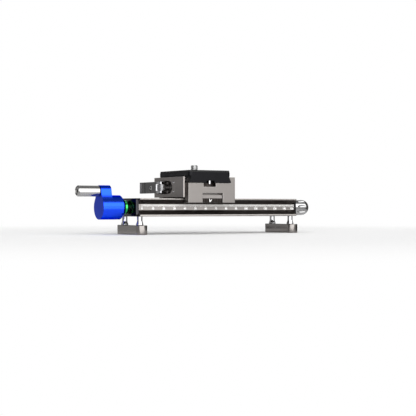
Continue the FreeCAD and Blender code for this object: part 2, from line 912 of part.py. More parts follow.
def clamp_lever():
    knuckle_low = lever_z - knuckle_height / 2
    knuckle_high = lever_z + knuckle_height / 2
    arm_low = lever_z - lever_height / 2
    arm_high = lever_z + lever_height / 2
    cam_x = pivot_x + cam_throw
    near_end = lever_pivot_y - heel_reach
    cam = rod_along_z(cam_radius, knuckle_low, knuckle_high, cam_x, lever_pivot_y)
    beyond = box(
        cam_x - cam_radius, cam_x + cam_radius, near_end - cam_radius, near_end, knuckle_low, knuckle_high)
    heel = box(arm_left, cam_x, near_end, lever_pivot_y + cam_radius, knuckle_low, knuckle_high)
    heel_corner = edges_where(heel, lambda p: near(p.x, arm_left) and near(p.y, near_end))
    heel = heel.makeFillet(heel_round, heel_corner)
    arm = box(arm_left, arm_right, lever_pivot_y, arm_end_y, arm_low, arm_high)
    end_corners = [
        edge for edge in arm.Edges
        if upright(edge) and near(edge.Vertexes[0].Point.y, arm_end_y)
    ]
    arm = arm.makeFillet(arm_end_round, end_corners)
    body = cam.cut(beyond).fuse([heel, arm]).removeSplitter()
    pin_bore = rod_along_z(lever_pin_radius, knuckle_low, knuckle_high, pivot_x, lever_pivot_y)
    screw_x, screw_y = lever_screw_place()
    screw_well = rod_along_x(lever_screw_radius, screw_x, screw_x + lever_screw_depth, screw_y, lever_z)
    return body.cut([ear_slot(), pin_bore, screw_well])


def lever_pin():
    low = lever_z - knuckle_height / 2
    return rod_along_z(lever_pin_radius, low, low + knuckle_height, pivot_x, lever_pivot_y)


def lever_screw():
    x, y = lever_screw_place()
    body = rod_along_x(lever_screw_radius, x + set_screw_recess, x + lever_screw_depth, y, lever_z)
    socket = rod_along_x(
        lever_screw_radius / 2, x + set_screw_recess, x + set_screw_recess + socket_depth / 2, y, lever_z)
    return body.cut(socket)


# ---- Release button ----

def release_button():
    half = recess_width / 2 - slide_gap
    left = recess_x - half
    right = recess_x + half
    band_low = button_top - button_band_height
    outline = [
        (button_front, button_bottom),
        (button_back, button_bottom),
        (button_back, button_top),
        (button_front + button_band_lean, button_top),
        (button_front, band_low),
    ]
    body = prism_along_x(outline, left, right)
    tools = []
    count = int((right - left) / button_groove_pitch)
    first = recess_x - (count - 1) * button_groove_pitch / 2
    for index in range(count):
        x = first + index * button_groove_pitch
        groove = [
            (x - button_groove_depth, button_front),
            (x, button_front + button_groove_depth),
            (x + button_groove_depth, button_front),
        ]
        tools.append(prism_along_z(groove, button_bottom, band_low))
    body = body.cut(tools)
    pins = [
        rod_along_y(button_pin_radius, button_back, button_pin_tip, x, button_pin_z)
        for x in button_pin_places()
    ]
    return body.fuse(pins)


def button_springs():
    springs = []
    for x in button_pin_places():
        end = button_pin_tip + button_spring_length
        outer = rod_along_y(button_pin_radius, button_pin_tip, end, x, button_pin_z)
        inner = rod_along_y(button_pin_radius / 2, button_pin_tip, end, x, button_pin_z)
        springs.append(outer.cut(inner))
    return springs


# ---- Camera plate ----

def rounded_slab(half_x, half_y, z0, z1, corner):
    slab = box(plate_x - half_x, plate_x + half_x, -half_y, half_y, z0, z1)
    return slab.makeFillet(corner, [edge for edge in slab.Edges if upright(edge)])


def camera_head_bottom():
    return plate_bottom + camera_head_lift


def camera_well_top():
    return camera_head_bottom() + camera_head_height + camera_clip_thickness + slide_gap


def stop_pin_places():
    return [(plate_x, -stop_pin_y), (plate_x, stop_pin_y)]


def stop_pin(x, y):
    return rod_along_z(stop_pin_radius, plate_bottom - stop_pin_drop, slot_top + stop_pin_hold, x, y)


def stop_slot(side):
    # pocket for a stop pin, open at the plate's end and its underside
    wall = stop_pin_y - stop_pin_radius - stop_slot_wall
    y0, y1 = sorted((side * wall, side * plate_half_depth))
    half = stop_slot_width / 2
    return box(plate_x - half, plate_x + half, y0, y1, plate_bottom, slot_top)


def camera_plate():
    neck_half = foot_half - plate_flank_run
    outline = [
        (plate_x - foot_half, plate_bottom),
        (plate_x + foot_half, plate_bottom),
        (plate_x + foot_half, flank_low),
        (plate_x + neck_half, flank_high),
        (plate_x + neck_half, slab_bottom),
        (plate_x - neck_half, slab_bottom),
        (plate_x - neck_half, flank_high),
        (plate_x - foot_half, flank_low),
    ]
    foot = prism_along_y(outline, -plate_half_depth, plate_half_depth)
    slab = rounded_slab(foot_half, plate_half_depth, slab_bottom, plate_top, plate_corner)
    body = slab.fuse(foot)
    tools = [
        rod_along_z(camera_head_radius + slide_gap, plate_bottom, camera_well_top(), plate_x, 0),
        rod_along_z(camera_screw_radius + face_gap, plate_bottom, plate_top, plate_x, 0),
        stop_slot(-1),
        stop_slot(1),
    ]
    tools += [stop_pin(x, y) for x, y in stop_pin_places()]
    return body.cut(tools)


def plate_pad():
    pad = rounded_slab(
        foot_half - pad_inset, plate_half_depth - pad_inset, plate_top, pad_top, plate_corner - pad_inset)
    return pad.cut(rod_along_z(camera_screw_radius + slide_gap, plate_top, pad_top, plate_x, 0))


def plate_stop_pins():
    return [stop_pin(x, y) for x, y in stop_pin_places()]


def camera_screw():
    bottom = camera_head_bottom()
    head = rod_along_z(camera_head_radius, bottom, bottom + camera_head_height, plate_x, 0)
    neck = rod_along_z(camera_neck_radius, bottom + camera_head_height, pad_top, plate_x, 0)
    stud = rod_along_z(camera_screw_radius, pad_top, pad_top + camera_screw_stand, plate_x, 0)
    half = camera_slot_width / 2
    slot = box(
        plate_x - camera_head_radius, plate_x + camera_head_radius, -half, half,
        bottom, bottom + camera_slot_depth)
    return head.fuse([neck, stud]).cut(slot)


def camera_screw_clip():
    bottom = camera_head_bottom() + camera_head_height
    top = bottom + camera_clip_thickness
    ring = rod_along_z(2 * camera_screw_radius - face_gap, bottom, top, plate_x, 0)
    return ring.cut(rod_along_z(camera_neck_radius, bottom, top, plate_x, 0))


def main():
    os.makedirs("parts", exist_ok=True)

    export("rail_extrusion", rail_extrusion())
    export("end_plate_left", end_plate(rail_left, left_face))
    export("end_plate_right", end_plate(rail_right, right_face))
    export("end_plate_screws", *(plate_screws(left_face) + plate_screws(right_face)))
    export("screw_bearing_left", screw_bearing(rail_left, left_face))
    export("screw_bearing_right", screw_bearing(rail_right, right_face))
    export("foot_bar_left", foot_bar(left_foot_x))
    export("foot_bar_right", foot_bar(right_foot_x))
    export("foot_posts", *[foot_post(x, y) for x, y in foot_places()])
    export("foot_screws", *[foot_screw(x, y) for x, y in foot_places()])

    export("lead_screw", lead_screw())
    export("thrust_washers", *thrust_washers())
    export("shaft_collar", shaft_collar())
    export("crank_knob", crank_knob())
    export("crank_set_screw", crank_set_screw())
    export("grip_spindle", grip_spindle())
    export("crank_grip", crank_grip())
    export("fine_knob", fine_knob())
    export("fine_knob_set_screw", fine_knob_set_screw())

    export("carriage_block", carriage_block())
    export("lead_nut", lead_nut())
    export("nut_screws", *[nut_screw(x) for x in nut_screw_places()])
    export("glide_strip_front", glide_strip(-1))
    export("glide_strip_rear", glide_strip(1))
    export("gib_screws", *[gib_screw(x, block_half - gib_screw_recess) for x in gib_screw_places()])
    export("draw_bolt", draw_bolt())
    export("guide_rods", *guide_rods())
    export("jaw_springs", *jaw_springs())
    export("release_button", release_button())
    export("button_springs", *button_springs())

    export("moving_jaw", moving_jaw())
    export("jaw_pins", *jaw_pins())
    export("clamp_lever", clamp_lever())
    export("lever_pin", lever_pin())
    export("lever_screw", lever_screw())

    export("camera_plate", camera_plate())
    export("plate_pad", plate_pad())
    export("plate_stop_pins", *plate_stop_pins())
    export("camera_screw", camera_screw())
    export("camera_screw_clip", camera_screw_clip())


main()
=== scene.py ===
import bmesh
import bpy
import math
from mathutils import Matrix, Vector


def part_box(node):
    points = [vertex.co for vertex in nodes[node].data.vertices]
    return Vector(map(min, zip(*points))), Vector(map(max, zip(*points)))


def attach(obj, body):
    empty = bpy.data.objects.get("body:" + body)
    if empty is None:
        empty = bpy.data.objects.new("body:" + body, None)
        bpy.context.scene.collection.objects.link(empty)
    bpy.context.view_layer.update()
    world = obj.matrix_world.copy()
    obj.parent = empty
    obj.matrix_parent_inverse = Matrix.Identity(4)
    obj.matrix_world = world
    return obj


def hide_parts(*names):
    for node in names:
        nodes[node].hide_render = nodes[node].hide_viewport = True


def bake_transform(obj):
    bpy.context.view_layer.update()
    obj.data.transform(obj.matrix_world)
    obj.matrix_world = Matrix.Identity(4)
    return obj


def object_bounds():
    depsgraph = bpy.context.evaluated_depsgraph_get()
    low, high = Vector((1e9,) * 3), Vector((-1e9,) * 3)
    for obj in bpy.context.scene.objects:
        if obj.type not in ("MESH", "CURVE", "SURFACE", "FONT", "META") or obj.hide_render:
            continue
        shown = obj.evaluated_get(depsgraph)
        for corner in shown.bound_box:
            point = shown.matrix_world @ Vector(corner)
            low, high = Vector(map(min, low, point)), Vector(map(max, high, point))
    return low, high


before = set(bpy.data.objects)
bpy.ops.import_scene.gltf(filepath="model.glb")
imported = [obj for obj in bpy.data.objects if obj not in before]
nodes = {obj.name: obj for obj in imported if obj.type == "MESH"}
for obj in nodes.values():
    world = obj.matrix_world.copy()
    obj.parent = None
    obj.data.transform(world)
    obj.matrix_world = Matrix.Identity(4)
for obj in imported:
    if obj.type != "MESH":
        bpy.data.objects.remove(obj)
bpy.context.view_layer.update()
mm = 0.001
print("stage: frame loaded,", len(nodes), "nodes")


def span(name):
    # lowest and highest corner that a CAD node reaches, in millimetres
    return [Vector(corner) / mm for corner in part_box(name)]


def middle(name):
    low, high = span(name)
    return (low + high) / 2


# places shared by several pieces, in millimetres
axisZ = middle("lead_screw").z
gripZ = middle("grip_spindle").z
leverZ = middle("clamp_lever").z
plateX = middle("camera_plate").x
# places closer than this count as the same
near = 0.01
# tools reach this far past what they cut
over = 1
toTop, toRight, toLeft = (0, 0, 1), (1, 0, 0), (-1, 0, 0)


# hand tools

def toObjectMode():
    if bpy.context.object and bpy.context.object.mode != "OBJECT":
        bpy.ops.object.mode_set(mode="OBJECT")


def selectOnly(*objs):
    toObjectMode()
    bpy.ops.object.select_all(action="DESELECT")
    for obj in objs:
        obj.select_set(True)
        bpy.context.view_layer.objects.active = obj


def selectAll(action="SELECT"):
    bpy.ops.mesh.select_all(action=action)


def editAll(obj, kind="VERT"):
    # opens a piece in edit mode with all of it selected
    selectOnly(obj)
    bpy.ops.object.mode_set(mode="EDIT")
    bpy.ops.mesh.select_mode(type=kind)
    selectAll()


def turnOutwards(obj):
    # turns all faces outwards and leaves edit mode
    selectAll()
    bpy.ops.mesh.normals_make_consistent(inside=False)
    toObjectMode()
    return obj


def bakePlace(obj):
    selectOnly(obj)
    bpy.ops.object.transform_apply(location=True, rotation=True, scale=True)
    return obj


def addBox(low, high):
    selectOnly()
    centre = [(a + b) / 2 * mm for a, b in zip(low, high)]
    size = [(b - a) * mm for a, b in zip(low, high)]
    bpy.ops.mesh.primitive_cube_add(size=1, location=centre, scale=size)
    return bakePlace(bpy.context.object)


def drawPath(points, closed=False):
    # a line of vertices, drawn by extruding one vertex from point to point
    selectOnly()
    bpy.ops.mesh.primitive_plane_add(size=mm, location=Vector(points[0]) * mm)
    obj = bpy.context.object
    editAll(obj)
    bpy.ops.mesh.merge(type="CENTER")
    for a, b in zip(points, points[1:]):
        step = (Vector(b) - Vector(a)) * mm
        bpy.ops.mesh.extrude_vertices_move(TRANSFORM_OT_translate={"value": step})
    selectAll()
    if closed:
        bpy.ops.mesh.edge_face_add()
    return bakePlace(obj)


def prism(axis, outline, start, end):
    # an outline across the x, y or z axis, pulled along it from start to end
    at = "xyz".index(axis)
    step = Vector()
    step[at] = end - start
    obj = drawPath([(*pair[:at], start, *pair[at:]) for pair in outline], closed=True)
    editAll(obj)
    bpy.ops.mesh.extrude_region_move(TRANSFORM_OT_translate={"value": step * mm})
    return turnOutwards(obj)


def placeAlong(obj, origin, direction):
    # turns a piece made along +Z so that it runs along direction from origin
    obj.rotation_mode = "QUATERNION"
    obj.rotation_quaternion = Vector(direction).to_track_quat("Z", "Y")
    obj.location = Vector(origin) * mm
    return bakePlace(obj)


def weld(obj, reach=0.002):
    # merges vertices that meet, closes what is open and turns the faces outwards
    editAll(obj)
    bpy.ops.mesh.remove_doubles(threshold=reach * mm)
    selectAll()
    bpy.ops.mesh.fill_holes(sides=0)
    return turnOutwards(obj)


def turn(profile, origin, direction, steps=64):
    # turned on a lathe: profile is (distance along, radius) pairs, closed on the axis or on itself
    obj = drawPath([(radius, 0, along) for along, radius in profile])
    editAll(obj)
    bpy.ops.mesh.spin(steps=steps, angle=math.tau, center=(0, 0, 0), axis=(0, 0, 1))
    weld(obj)
    return placeAlong(obj, origin, direction)


def solid(profile):
    # closes a profile on the axis at both ends
    return [(profile[0][0], 0)] + list(profile) + [(profile[-1][0], 0)]


def ring(profile):
    # closes a profile on itself, for a piece with a bore
    return list(profile) + [profile[0]]


def turnMany(profile, places, direction, steps=64):
    return joined(*[turn(solid(profile), place, direction, steps) for place in places])


def rod(radius, start, end, steps=32, chamfer=0.0):
    way = Vector(end) - Vector(start)
    length = way.length
    profile = [(0, radius), (length, radius)]
    if chamfer:
        profile = [(0, radius - chamfer), (chamfer, radius), (length - chamfer, radius),
                   (length, radius - chamfer)]
    return turn(solid(profile), start, way, steps)


def drill(radius, mouth, inward, depth, chamfer=0.15, steps=32):
    # tool for a hole with a broken edge at its mouth
    profile = [(-over, radius + chamfer), (0, radius + chamfer), (chamfer, radius), (depth, radius)]
    return turn(solid(profile), mouth, inward, steps)


def hexTool(radius, mouth, inward, depth):
    return turn(solid([(-over / 2, radius), (depth, radius)]), mouth, inward, 6)


def setScrew(radius, mouth, end, chamfer, socket, socketDepth, steps=24):
    # headless screw with a hex socket at its mouth
    inward = Vector(end) - Vector(mouth)
    return cut(rod(radius, mouth, end, steps, chamfer), hexTool(socket, mouth, inward, socketDepth))


def modify(obj, kind, **settings):
    modifier = obj.modifiers.new(kind.title(), kind)
    for key, value in settings.items():
        setattr(modifier, key, value)
    selectOnly(obj)
    bpy.ops.object.modifier_apply(modifier=modifier.name)
    return obj


def joined(*objs):
    selectOnly(*objs)
    if len(objs) > 1:
        bpy.ops.object.join()
    return bpy.context.object


def cut(obj, *tools, solver="EXACT", operation="DIFFERENCE"):
    for tool in tools:
        modify(obj, "BOOLEAN", object=tool, operation=operation, solver=solver)
        bpy.data.objects.remove(tool)
    return obj


def cutMany(obj, tools, solver="EXACT"):
    # tools that don't meet one another, cut in one go
    return cut(obj, joined(*tools), solver=solver)


def fuse(obj, *others):
    return cut(obj, *others, operation="UNION")


def cutSides(obj, low, high, inner):
    # cuts off what lies in x and z between low and high, and in y beyond inner on both sides
    for y0, y1 in ((low.y - over, -inner), (inner, high.y + over)):
        cut(obj, addBox((low.x, y0, low.z), (high.x, y1, high.z)))


def pick(obj, kind, test):
    # selects vertices, edges or faces in edit mode by place, in millimetres
    editAll(obj, kind)
    selectAll("DESELECT")
    mesh = bmesh.from_edit_mesh(obj.data)
    if kind == "FACE":
        found = [face for face in mesh.faces if test(face.calc_center_median() / mm, face.normal)]
    elif kind == "EDGE":
        found = [edge for edge in mesh.edges if test(*[vert.co / mm for vert in edge.verts])]
    else:
        found = [vert for vert in mesh.verts if test(vert.co / mm)]
    for part in found:
        part.select_set(True)
    mesh.select_flush_mode()
    bmesh.update_edit_mesh(obj.data)
    return len(found)


def runs(axis, least=1.0):
    # test for the edges that run along an axis
    at = "xyz".index(axis)
    return lambda a, b: abs(a[at] - b[at]) > least


def lies(axis, place):
    # test for the edges that lie at one place on an axis
    at = "xyz".index(axis)
    return lambda a, b: abs(a[at] - place) < near and abs(b[at] - place) < near


def bevelEdges(obj, test, width, segments=3):
    if pick(obj, "EDGE", test):
        bpy.ops.mesh.bevel(offset=width * mm, segments=segments, affect="EDGES", clamp_overlap=True)
    toObjectMode()
    return obj


def softEdges(obj, width, segments=2, angle=32, edgeSlot=-1):
    return modify(
        obj, "BEVEL", width=width * mm, segments=segments, limit_method="ANGLE",
        angle_limit=math.radians(angle), use_clamp_overlap=True, miter_outer="MITER_ARC",
        loop_slide=True, material=edgeSlot)


def coverWith(obj, *kinds):
    # the piece's materials, numbered from 0 for paintFaces and softEdges
    for kind in kinds:
        obj.data.materials.append(kind)


def paintFaces(obj, index, test):
    # gives the picked faces another of the piece's materials
    if pick(obj, "FACE", test):
        mesh = bmesh.from_edit_mesh(obj.data)
        for face in mesh.faces:
            if face.select:
                face.material_index = index
        bmesh.update_edit_mesh(obj.data)
    toObjectMode()


def finishPiece(obj, name, body, material, node=None, smooth=35, stretch=None):
    # stretch is (far body, start, end) for a piece that runs across a joint; its contents are not used, and
    # such a piece is only left in place unattached
    obj.name = name
    obj.data.name = name
    selectOnly(obj)
    if len(obj.data.materials):
        obj.data.materials[0] = material
    else:
        obj.data.materials.append(material)
    bpy.ops.object.shade_smooth_by_angle(angle=math.radians(smooth))
    modify(obj, "WEIGHTED_NORMAL", keep_sharp=True, weight=50)
    if stretch:
        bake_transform(obj)
    else:
        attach(obj, body)
    if node:
        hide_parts(node)


# materials

def feed(tree, node, inputs):
    # links what is a socket and sets what is a value
    for key, value in inputs.items():
        if isinstance(value, bpy.types.NodeSocket):
            tree.links.new(value, node.inputs[key])
        else:
            node.inputs[key].default_value = value
    return node


def addNode(tree, kind, inputs=None, **settings):
    node = tree.nodes.new("ShaderNode" + kind)
    for key, value in settings.items():
        setattr(node, key, value)
    return feed(tree, node, inputs or {})


def mathOf(tree, operation, *values):
    return addNode(tree, "Math", operation=operation, inputs=dict(enumerate(values))).outputs[0]


def noiseOf(tree, place, size, detail, coarseness):
    return addNode(tree, "TexNoise", inputs={
        "Vector": place, "Scale": size, "Detail": detail, "Roughness": coarseness}).outputs["Fac"]


# drawn or ground metal: long fine streaks, with a slow drift of tone under them
grain = {"name": "metalGrain", "noise": (3.0, 0.6), "drift": (90.0, 3.0, 0.5), "driftShare": 0.6,
         "middle": 0.8, "driftRoughens": False, "roughRange": (0.3, 0.7)}
# bead-blasted or moulded surface: fine even dimples and a few faint handling marks
speck = {"name": "fineSpeck", "noise": (2.0, 0.7), "drift": (120.0, 4.0, 0.55), "driftShare": 0.8,
         "middle": 0.9, "driftRoughens": True, "roughRange": (0.35, 0.65)}


def makeSurfaceGroup(look):
    group = bpy.data.node_groups.new(look["name"], "ShaderNodeTree")
    sockets = {"INPUT": ("Place", "Stretch", "Fineness", "Tone Depth", "Rough Low", "Rough High", "Colour"),
               "OUTPUT": ("Colour", "Roughness", "Height")}
    kinds = {"Place": "Vector", "Stretch": "Vector", "Colour": "Color"}
    for way, titles in sockets.items():
        for title in titles:
            kind = "NodeSocket" + kinds.get(title, "Float")
            group.interface.new_socket(title, in_out=way, socket_type=kind)
    start = group.nodes.new("NodeGroupInput").outputs
    end = group.nodes.new("NodeGroupOutput")
    place = addNode(group, "VectorMath", operation="MULTIPLY",
                    inputs={0: start["Place"], 1: start["Stretch"]})
    fine = noiseOf(group, place.outputs[0], start["Fineness"], *look["noise"])
    drift = noiseOf(group, start["Place"], *look["drift"])
    both = mathOf(group, "MULTIPLY_ADD", drift, look["driftShare"], fine)
    centred = mathOf(group, "SUBTRACT", both, look["middle"])
    tone = mathOf(group, "MULTIPLY_ADD", centred, start["Tone Depth"], 1.0)
    tinted = addNode(group, "VectorMath", operation="SCALE", inputs={0: start["Colour"], "Scale": tone})
    low, high = look["roughRange"]
    rough = addNode(group, "MapRange", inputs={
        "Value": drift if look["driftRoughens"] else fine, "From Min": low, "From Max": high,
        "To Min": start["Rough Low"], "To Max": start["Rough High"]})
    feed(group, end, {"Colour": tinted.outputs[0], "Roughness": rough.outputs[0], "Height": fine})
    return group


grainGroup = makeSurfaceGroup(grain)
speckGroup = makeSurfaceGroup(speck)


def makeMaterial(name, colour, rough, streaks, fineness, toneDepth, bump,
                 metallic=1.0, bumpDepth=0.01, coat=0.0, specular=0.5, edgeTint=(1, 1, 1)):
    kind = bpy.data.materials.new(name)
    kind.use_nodes = True
    tree = kind.node_tree
    place = addNode(tree, "TexCoord").outputs["Object"]
    surface = addNode(tree, "Group", node_tree=grainGroup if streaks else speckGroup, inputs={
        "Place": place, "Stretch": streaks or (1, 1, 1), "Fineness": fineness, "Tone Depth": toneDepth,
        "Rough Low": rough[0], "Rough High": rough[1], "Colour": (*colour, 1)}).outputs
    height = addNode(tree, "Bump", inputs={
        "Strength": bump, "Distance": bumpDepth * mm, "Height": surface["Height"]})
    feed(tree, tree.nodes["Principled BSDF"], {
        "Base Color": surface["Colour"], "Roughness": surface["Roughness"], "Metallic": metallic,
        "Normal": height.outputs["Normal"], "Coat Weight": coat, "Coat Roughness": 0.1, "Coat IOR": 1.7,
        "Specular IOR Level": specular, "Specular Tint": (*edgeTint, 1)})
    return kind


# how the streaks are stretched; a blasted or moulded surface has none
alongX, alongY, alongZ = (0.03, 1, 1), (1, 0.03, 1), (1, 1, 0.03)
turned = (1, 0.05, 0.05)
blasted = None

# name, colour, lowest and highest roughness, streaks, fineness, depth of tone, bump
railGrey = makeMaterial("railGrey", (0.235, 0.222, 0.212), (0.26, 0.38), alongX, 5000, 0.22, 0.18)
# dark grey laid where shade falls: painted shade on the rail's sloping flanks, in the carriage's notches and
# under its edge over the rail
paintedShadeGrey = makeMaterial("paintedShadeGrey", (0.050, 0.043, 0.040), (0.34, 0.48), alongX, 5000, 0.3, 0.18)
# lighter, smoother copy of the rail grey: a painted highlight on the rail's outer lips
lipHighlightGrey = makeMaterial("lipHighlightGrey", (0.30, 0.283, 0.27), (0.24, 0.34), alongX, 5000, 0.15, 0.12)
endPlateGrey = makeMaterial("endPlateGrey", (0.040, 0.039, 0.043), (0.12, 0.18), alongY, 4000, 0.12, 0.05)
carriageGrey = makeMaterial("carriageGrey", (0.20, 0.187, 0.178), (0.36, 0.46), blasted, 2600, 0.16, 0.22,
                            bumpDepth=0.012)
# lighter, smoother copy of the carriage grey on bevels: a painted edge highlight
carriageEdgeHighlight = makeMaterial("carriageEdgeHighlight", (0.30, 0.285, 0.275), (0.24, 0.34), blasted, 2600, 0.1, 0.05)
jawGrey = makeMaterial("jawGrey", (0.25, 0.23, 0.22), (0.34, 0.44), blasted, 2600, 0.16, 0.22,
                       bumpDepth=0.012)
footGrey = makeMaterial("footGrey", (0.225, 0.211, 0.202), (0.07, 0.11), blasted, 2600, 0.14, 0.15)
leverGrey = makeMaterial("leverGrey", (0.115, 0.113, 0.113), (0.22, 0.30), alongZ, 4200, 0.25, 0.12)
# lighter, smoother copy of the lever grey: a painted highlight on the knuckle and the arm's slanted near end
leverHighlightGrey = makeMaterial("leverHighlightGrey", (0.34, 0.34, 0.35), (0.14, 0.2), alongY, 4200, 0.12, 0.05)
eyeSteel = makeMaterial("eyeSteel", (0.24, 0.24, 0.245), (0.36, 0.46), alongZ, 4200, 0.3, 0.2)
plateBlack = makeMaterial("plateBlack", (0.012, 0.012, 0.013), (0.34, 0.46), blasted, 3000, 0.25, 0.2)
# lighter, smoother copy of the plate black on bevels: a painted edge highlight
plateEdgeHighlight = makeMaterial("plateEdgeHighlight", (0.035, 0.035, 0.038), (0.24, 0.32), blasted, 3000, 0.2, 0.08)
buttonBlack = makeMaterial("buttonBlack", (0.030, 0.026, 0.024), (0.34, 0.44), blasted, 3000, 0.25, 0.15)
buttonBand = makeMaterial("buttonBand", (0.15, 0.14, 0.135), (0.3, 0.4), blasted, 3000, 0.2, 0.12)
knobBlue = makeMaterial("knobBlue", (0.017, 0.078, 0.92), (0.17, 0.23), turned, 3800, 0.08, 0.07,
                        edgeTint=(0.1, 0.15, 0.7))
knobBlueFace = makeMaterial("knobBlueFace", (0.009, 0.050, 0.62), (0.34, 0.42), blasted, 2600, 0.12, 0.15)
collarGreen = makeMaterial("collarGreen", (0.012, 0.38, 0.07), (0.14, 0.2), turned, 3800, 0.1, 0.05, coat=0.4)
gripSteel = makeMaterial("gripSteel", (0.46, 0.455, 0.45), (0.13, 0.19), turned, 3800, 0.1, 0.05)
knobSteel = makeMaterial("knobSteel", (0.46, 0.46, 0.462), (0.12, 0.18), turned, 3800, 0.1, 0.05)
chromePlate = makeMaterial("chromePlate", (0.44, 0.44, 0.45), (0.05, 0.09), blasted, 1500, 0.05, 0.02)
brightSteel = makeMaterial("brightSteel", (0.5, 0.5, 0.5), (0.22, 0.32), turned, 3800, 0.15, 0.08)
darkSteel = makeMaterial("darkSteel", (0.045, 0.045, 0.05), (0.24, 0.36), blasted, 2600, 0.25, 0.1)
bearingBronze = makeMaterial("bearingBronze", (0.52, 0.35, 0.16), (0.26, 0.38), blasted, 2600, 0.2, 0.12)
glideNylon = makeMaterial("glideNylon", (0.62, 0.61, 0.57), (0.45, 0.55), blasted, 2200, 0.06, 0.1,
                          metallic=0.0)
padRubber = makeMaterial("padRubber", (0.014, 0.014, 0.014), (0.62, 0.75), blasted, 2200, 0.25, 0.35,
                         metallic=0.0, bumpDepth=0.03, specular=0.25)
scaleWhite = makeMaterial("scaleWhite", (0.87, 0.87, 0.85), (0.45, 0.6), blasted, 3000, 0.06, 0.1,
                          metallic=0.0)
print("stage: materials made")


# rail

rail = {"levels": (1.5, 5.2, 10.4, 13.9), "waist": 15.0, "edge": 0.3, "channelHalf": 6.25,
        "channelFloor": 2.65, "lip": 0.4}


def makeRail():
    low, high = span("rail_extrusion")
    bar = addBox(low, high)
    lipTop, waistLow, waistHigh, lipBottom = rail["levels"]
    for level in rail["levels"]:
        editAll(bar)
        bpy.ops.mesh.bisect(plane_co=(0, 0, level * mm), plane_no=toTop)
    pick(bar, "VERT", lambda p: abs(p.z - waistLow) < near or abs(p.z - waistHigh) < near)
    bpy.ops.transform.resize(value=(1, rail["waist"] / high.y, 1), center_override=(0, 0, 0))
    toObjectMode()
    half = rail["channelHalf"]
    cut(bar, addBox((low.x - over, -half, rail["channelFloor"]), (high.x + over, half, high.z + over)))
    softEdges(bar, rail["edge"], segments=3, angle=20)
    coverWith(bar, railGrey, paintedShadeGrey, lipHighlightGrey)
    # painted shade on the sloping flanks, and a lighter copy of the rail grey as a painted highlight on the
    # outer lips
    paintFaces(bar, 1, lambda p, n: rail["waist"] < abs(p.y) < high.y - 0.05 and 0.3 < abs(n.z) < 0.97)
    paintFaces(bar, 2, lambda p, n: abs(p.y) > high.y - rail["lip"]
               and (p.z < lipTop + 0.05 or p.z > lipBottom - 0.05))
    finishPiece(bar, "railBar", "rail", railGrey, "rail_extrusion", smooth=30)


scale = {"first": -73.55, "count": 151, "proud": 0.02, "sunk": 0.05, "width": 0.36, "top": 9.95,
         "short": 1.6, "middle": 1.9, "long": 2.3, "digitBase": 5.7, "digitRoom": 2.5,
         "digitHeight": 1.7, "capShare": 0.7, "digitBold": 0.09, "digitSunk": 0.03}


def makeScale():
    face = -rail["waist"]
    half = scale["width"] / 2
    made = []
    for index in range(scale["count"]):
        length = scale["long"] if index % 10 == 0 else scale["middle"] if index % 5 == 0 else scale["short"]
        x = scale["first"] + index
        made.append(addBox((x - half, face - scale["proud"], scale["top"] - length),
                           (x + half, face + scale["sunk"], scale["top"])))
    finishPiece(joined(*made), "scaleTicks", "rail", scaleWhite)
    last = span("rail_extrusion")[1].x - scale["digitRoom"]
    digits = []
    for number in range(0, scale["count"], 10):
        selectOnly()
        place = (min(scale["first"] + number, last), face - scale["proud"], scale["digitBase"])
        bpy.ops.object.text_add(location=Vector(place) * mm, rotation=(math.pi / 2, 0, 0))
        text = bpy.context.object.data
        text.body = str(number)
        text.size = scale["digitHeight"] / scale["capShare"] * mm
        text.align_x = "CENTER"
        text.offset = scale["digitBold"] * mm
        text.resolution_u = 3
        text.extrude = scale["digitSunk"] * mm
        bpy.ops.object.convert(target="MESH")
        digits.append(weld(bakePlace(bpy.context.object), 0.0002))
    finishPiece(joined(*digits), "scaleNumbers", "rail", scaleWhite)


endPlate = {"corner": 2.0, "bevel": 0.5, "edge": 0.12, "bore": 4.0, "screwY": 8.8, "head": 2.35,
            "headDepth": 1.1, "shank": 1.25, "reach": 8.9, "socket": 1.15, "socketDepth": 0.9}


def makeEndPlate(name, node, side):
    low, high = span(node)
    outer = high.x if side > 0 else low.x
    inward = (-side, 0, 0)
    plate = addBox(low, high)
    bevelEdges(plate, runs("x", 0.1), endPlate["corner"], 7)
    bevelEdges(plate, lies("x", outer), endPlate["bevel"], 3)
    softEdges(plate, endPlate["edge"], angle=40)
    # countersunk holes that open outwards
    head, shank = endPlate["head"], endPlate["shank"]
    seat = solid([(-over, head), (0, head), (endPlate["headDepth"], shank), (4, shank)])
    tools = [turn(seat, (outer, y, axisZ), inward, 40) for y in (-endPlate["screwY"], endPlate["screwY"])]
    tools.append(drill(endPlate["bore"], (outer, 0, axisZ), inward, 5, 0.2, 48))
    cutMany(plate, tools)
    finishPiece(plate, name, "rail", endPlateGrey, node, smooth=30)


def makePlateScrews():
    head, depth, shank = endPlate["head"] - 0.05, endPlate["headDepth"], endPlate["shank"] - 0.03
    profile = [(0.05, head - 0.15), (0.15, head), (0.3, head - 0.15), (depth, shank),
               (endPlate["reach"], shank)]
    made = []
    for side, outer in ((-1, span("end_plate_left")[0].x), (1, span("end_plate_right")[1].x)):
        for y in (-endPlate["screwY"], endPlate["screwY"]):
            mouth, inward = (outer, y, axisZ), (-side, 0, 0)
            screw = turn(solid(profile), mouth, inward, 40)
            made.append(cut(screw, hexTool(endPlate["socket"], mouth, inward, endPlate["socketDepth"])))
    finishPiece(joined(*made), "endPlateScrews", "rail", darkSteel, "end_plate_screws")


foot = {"edge": 0.7, "postY": 14.25, "well": 2.5, "wellDepth": 3.0, "headRadius": 2.42, "headLength": 2.4,
        "shank": 1.28, "shankLength": 4.0, "socket": 1.3, "socketDepth": 1.6}
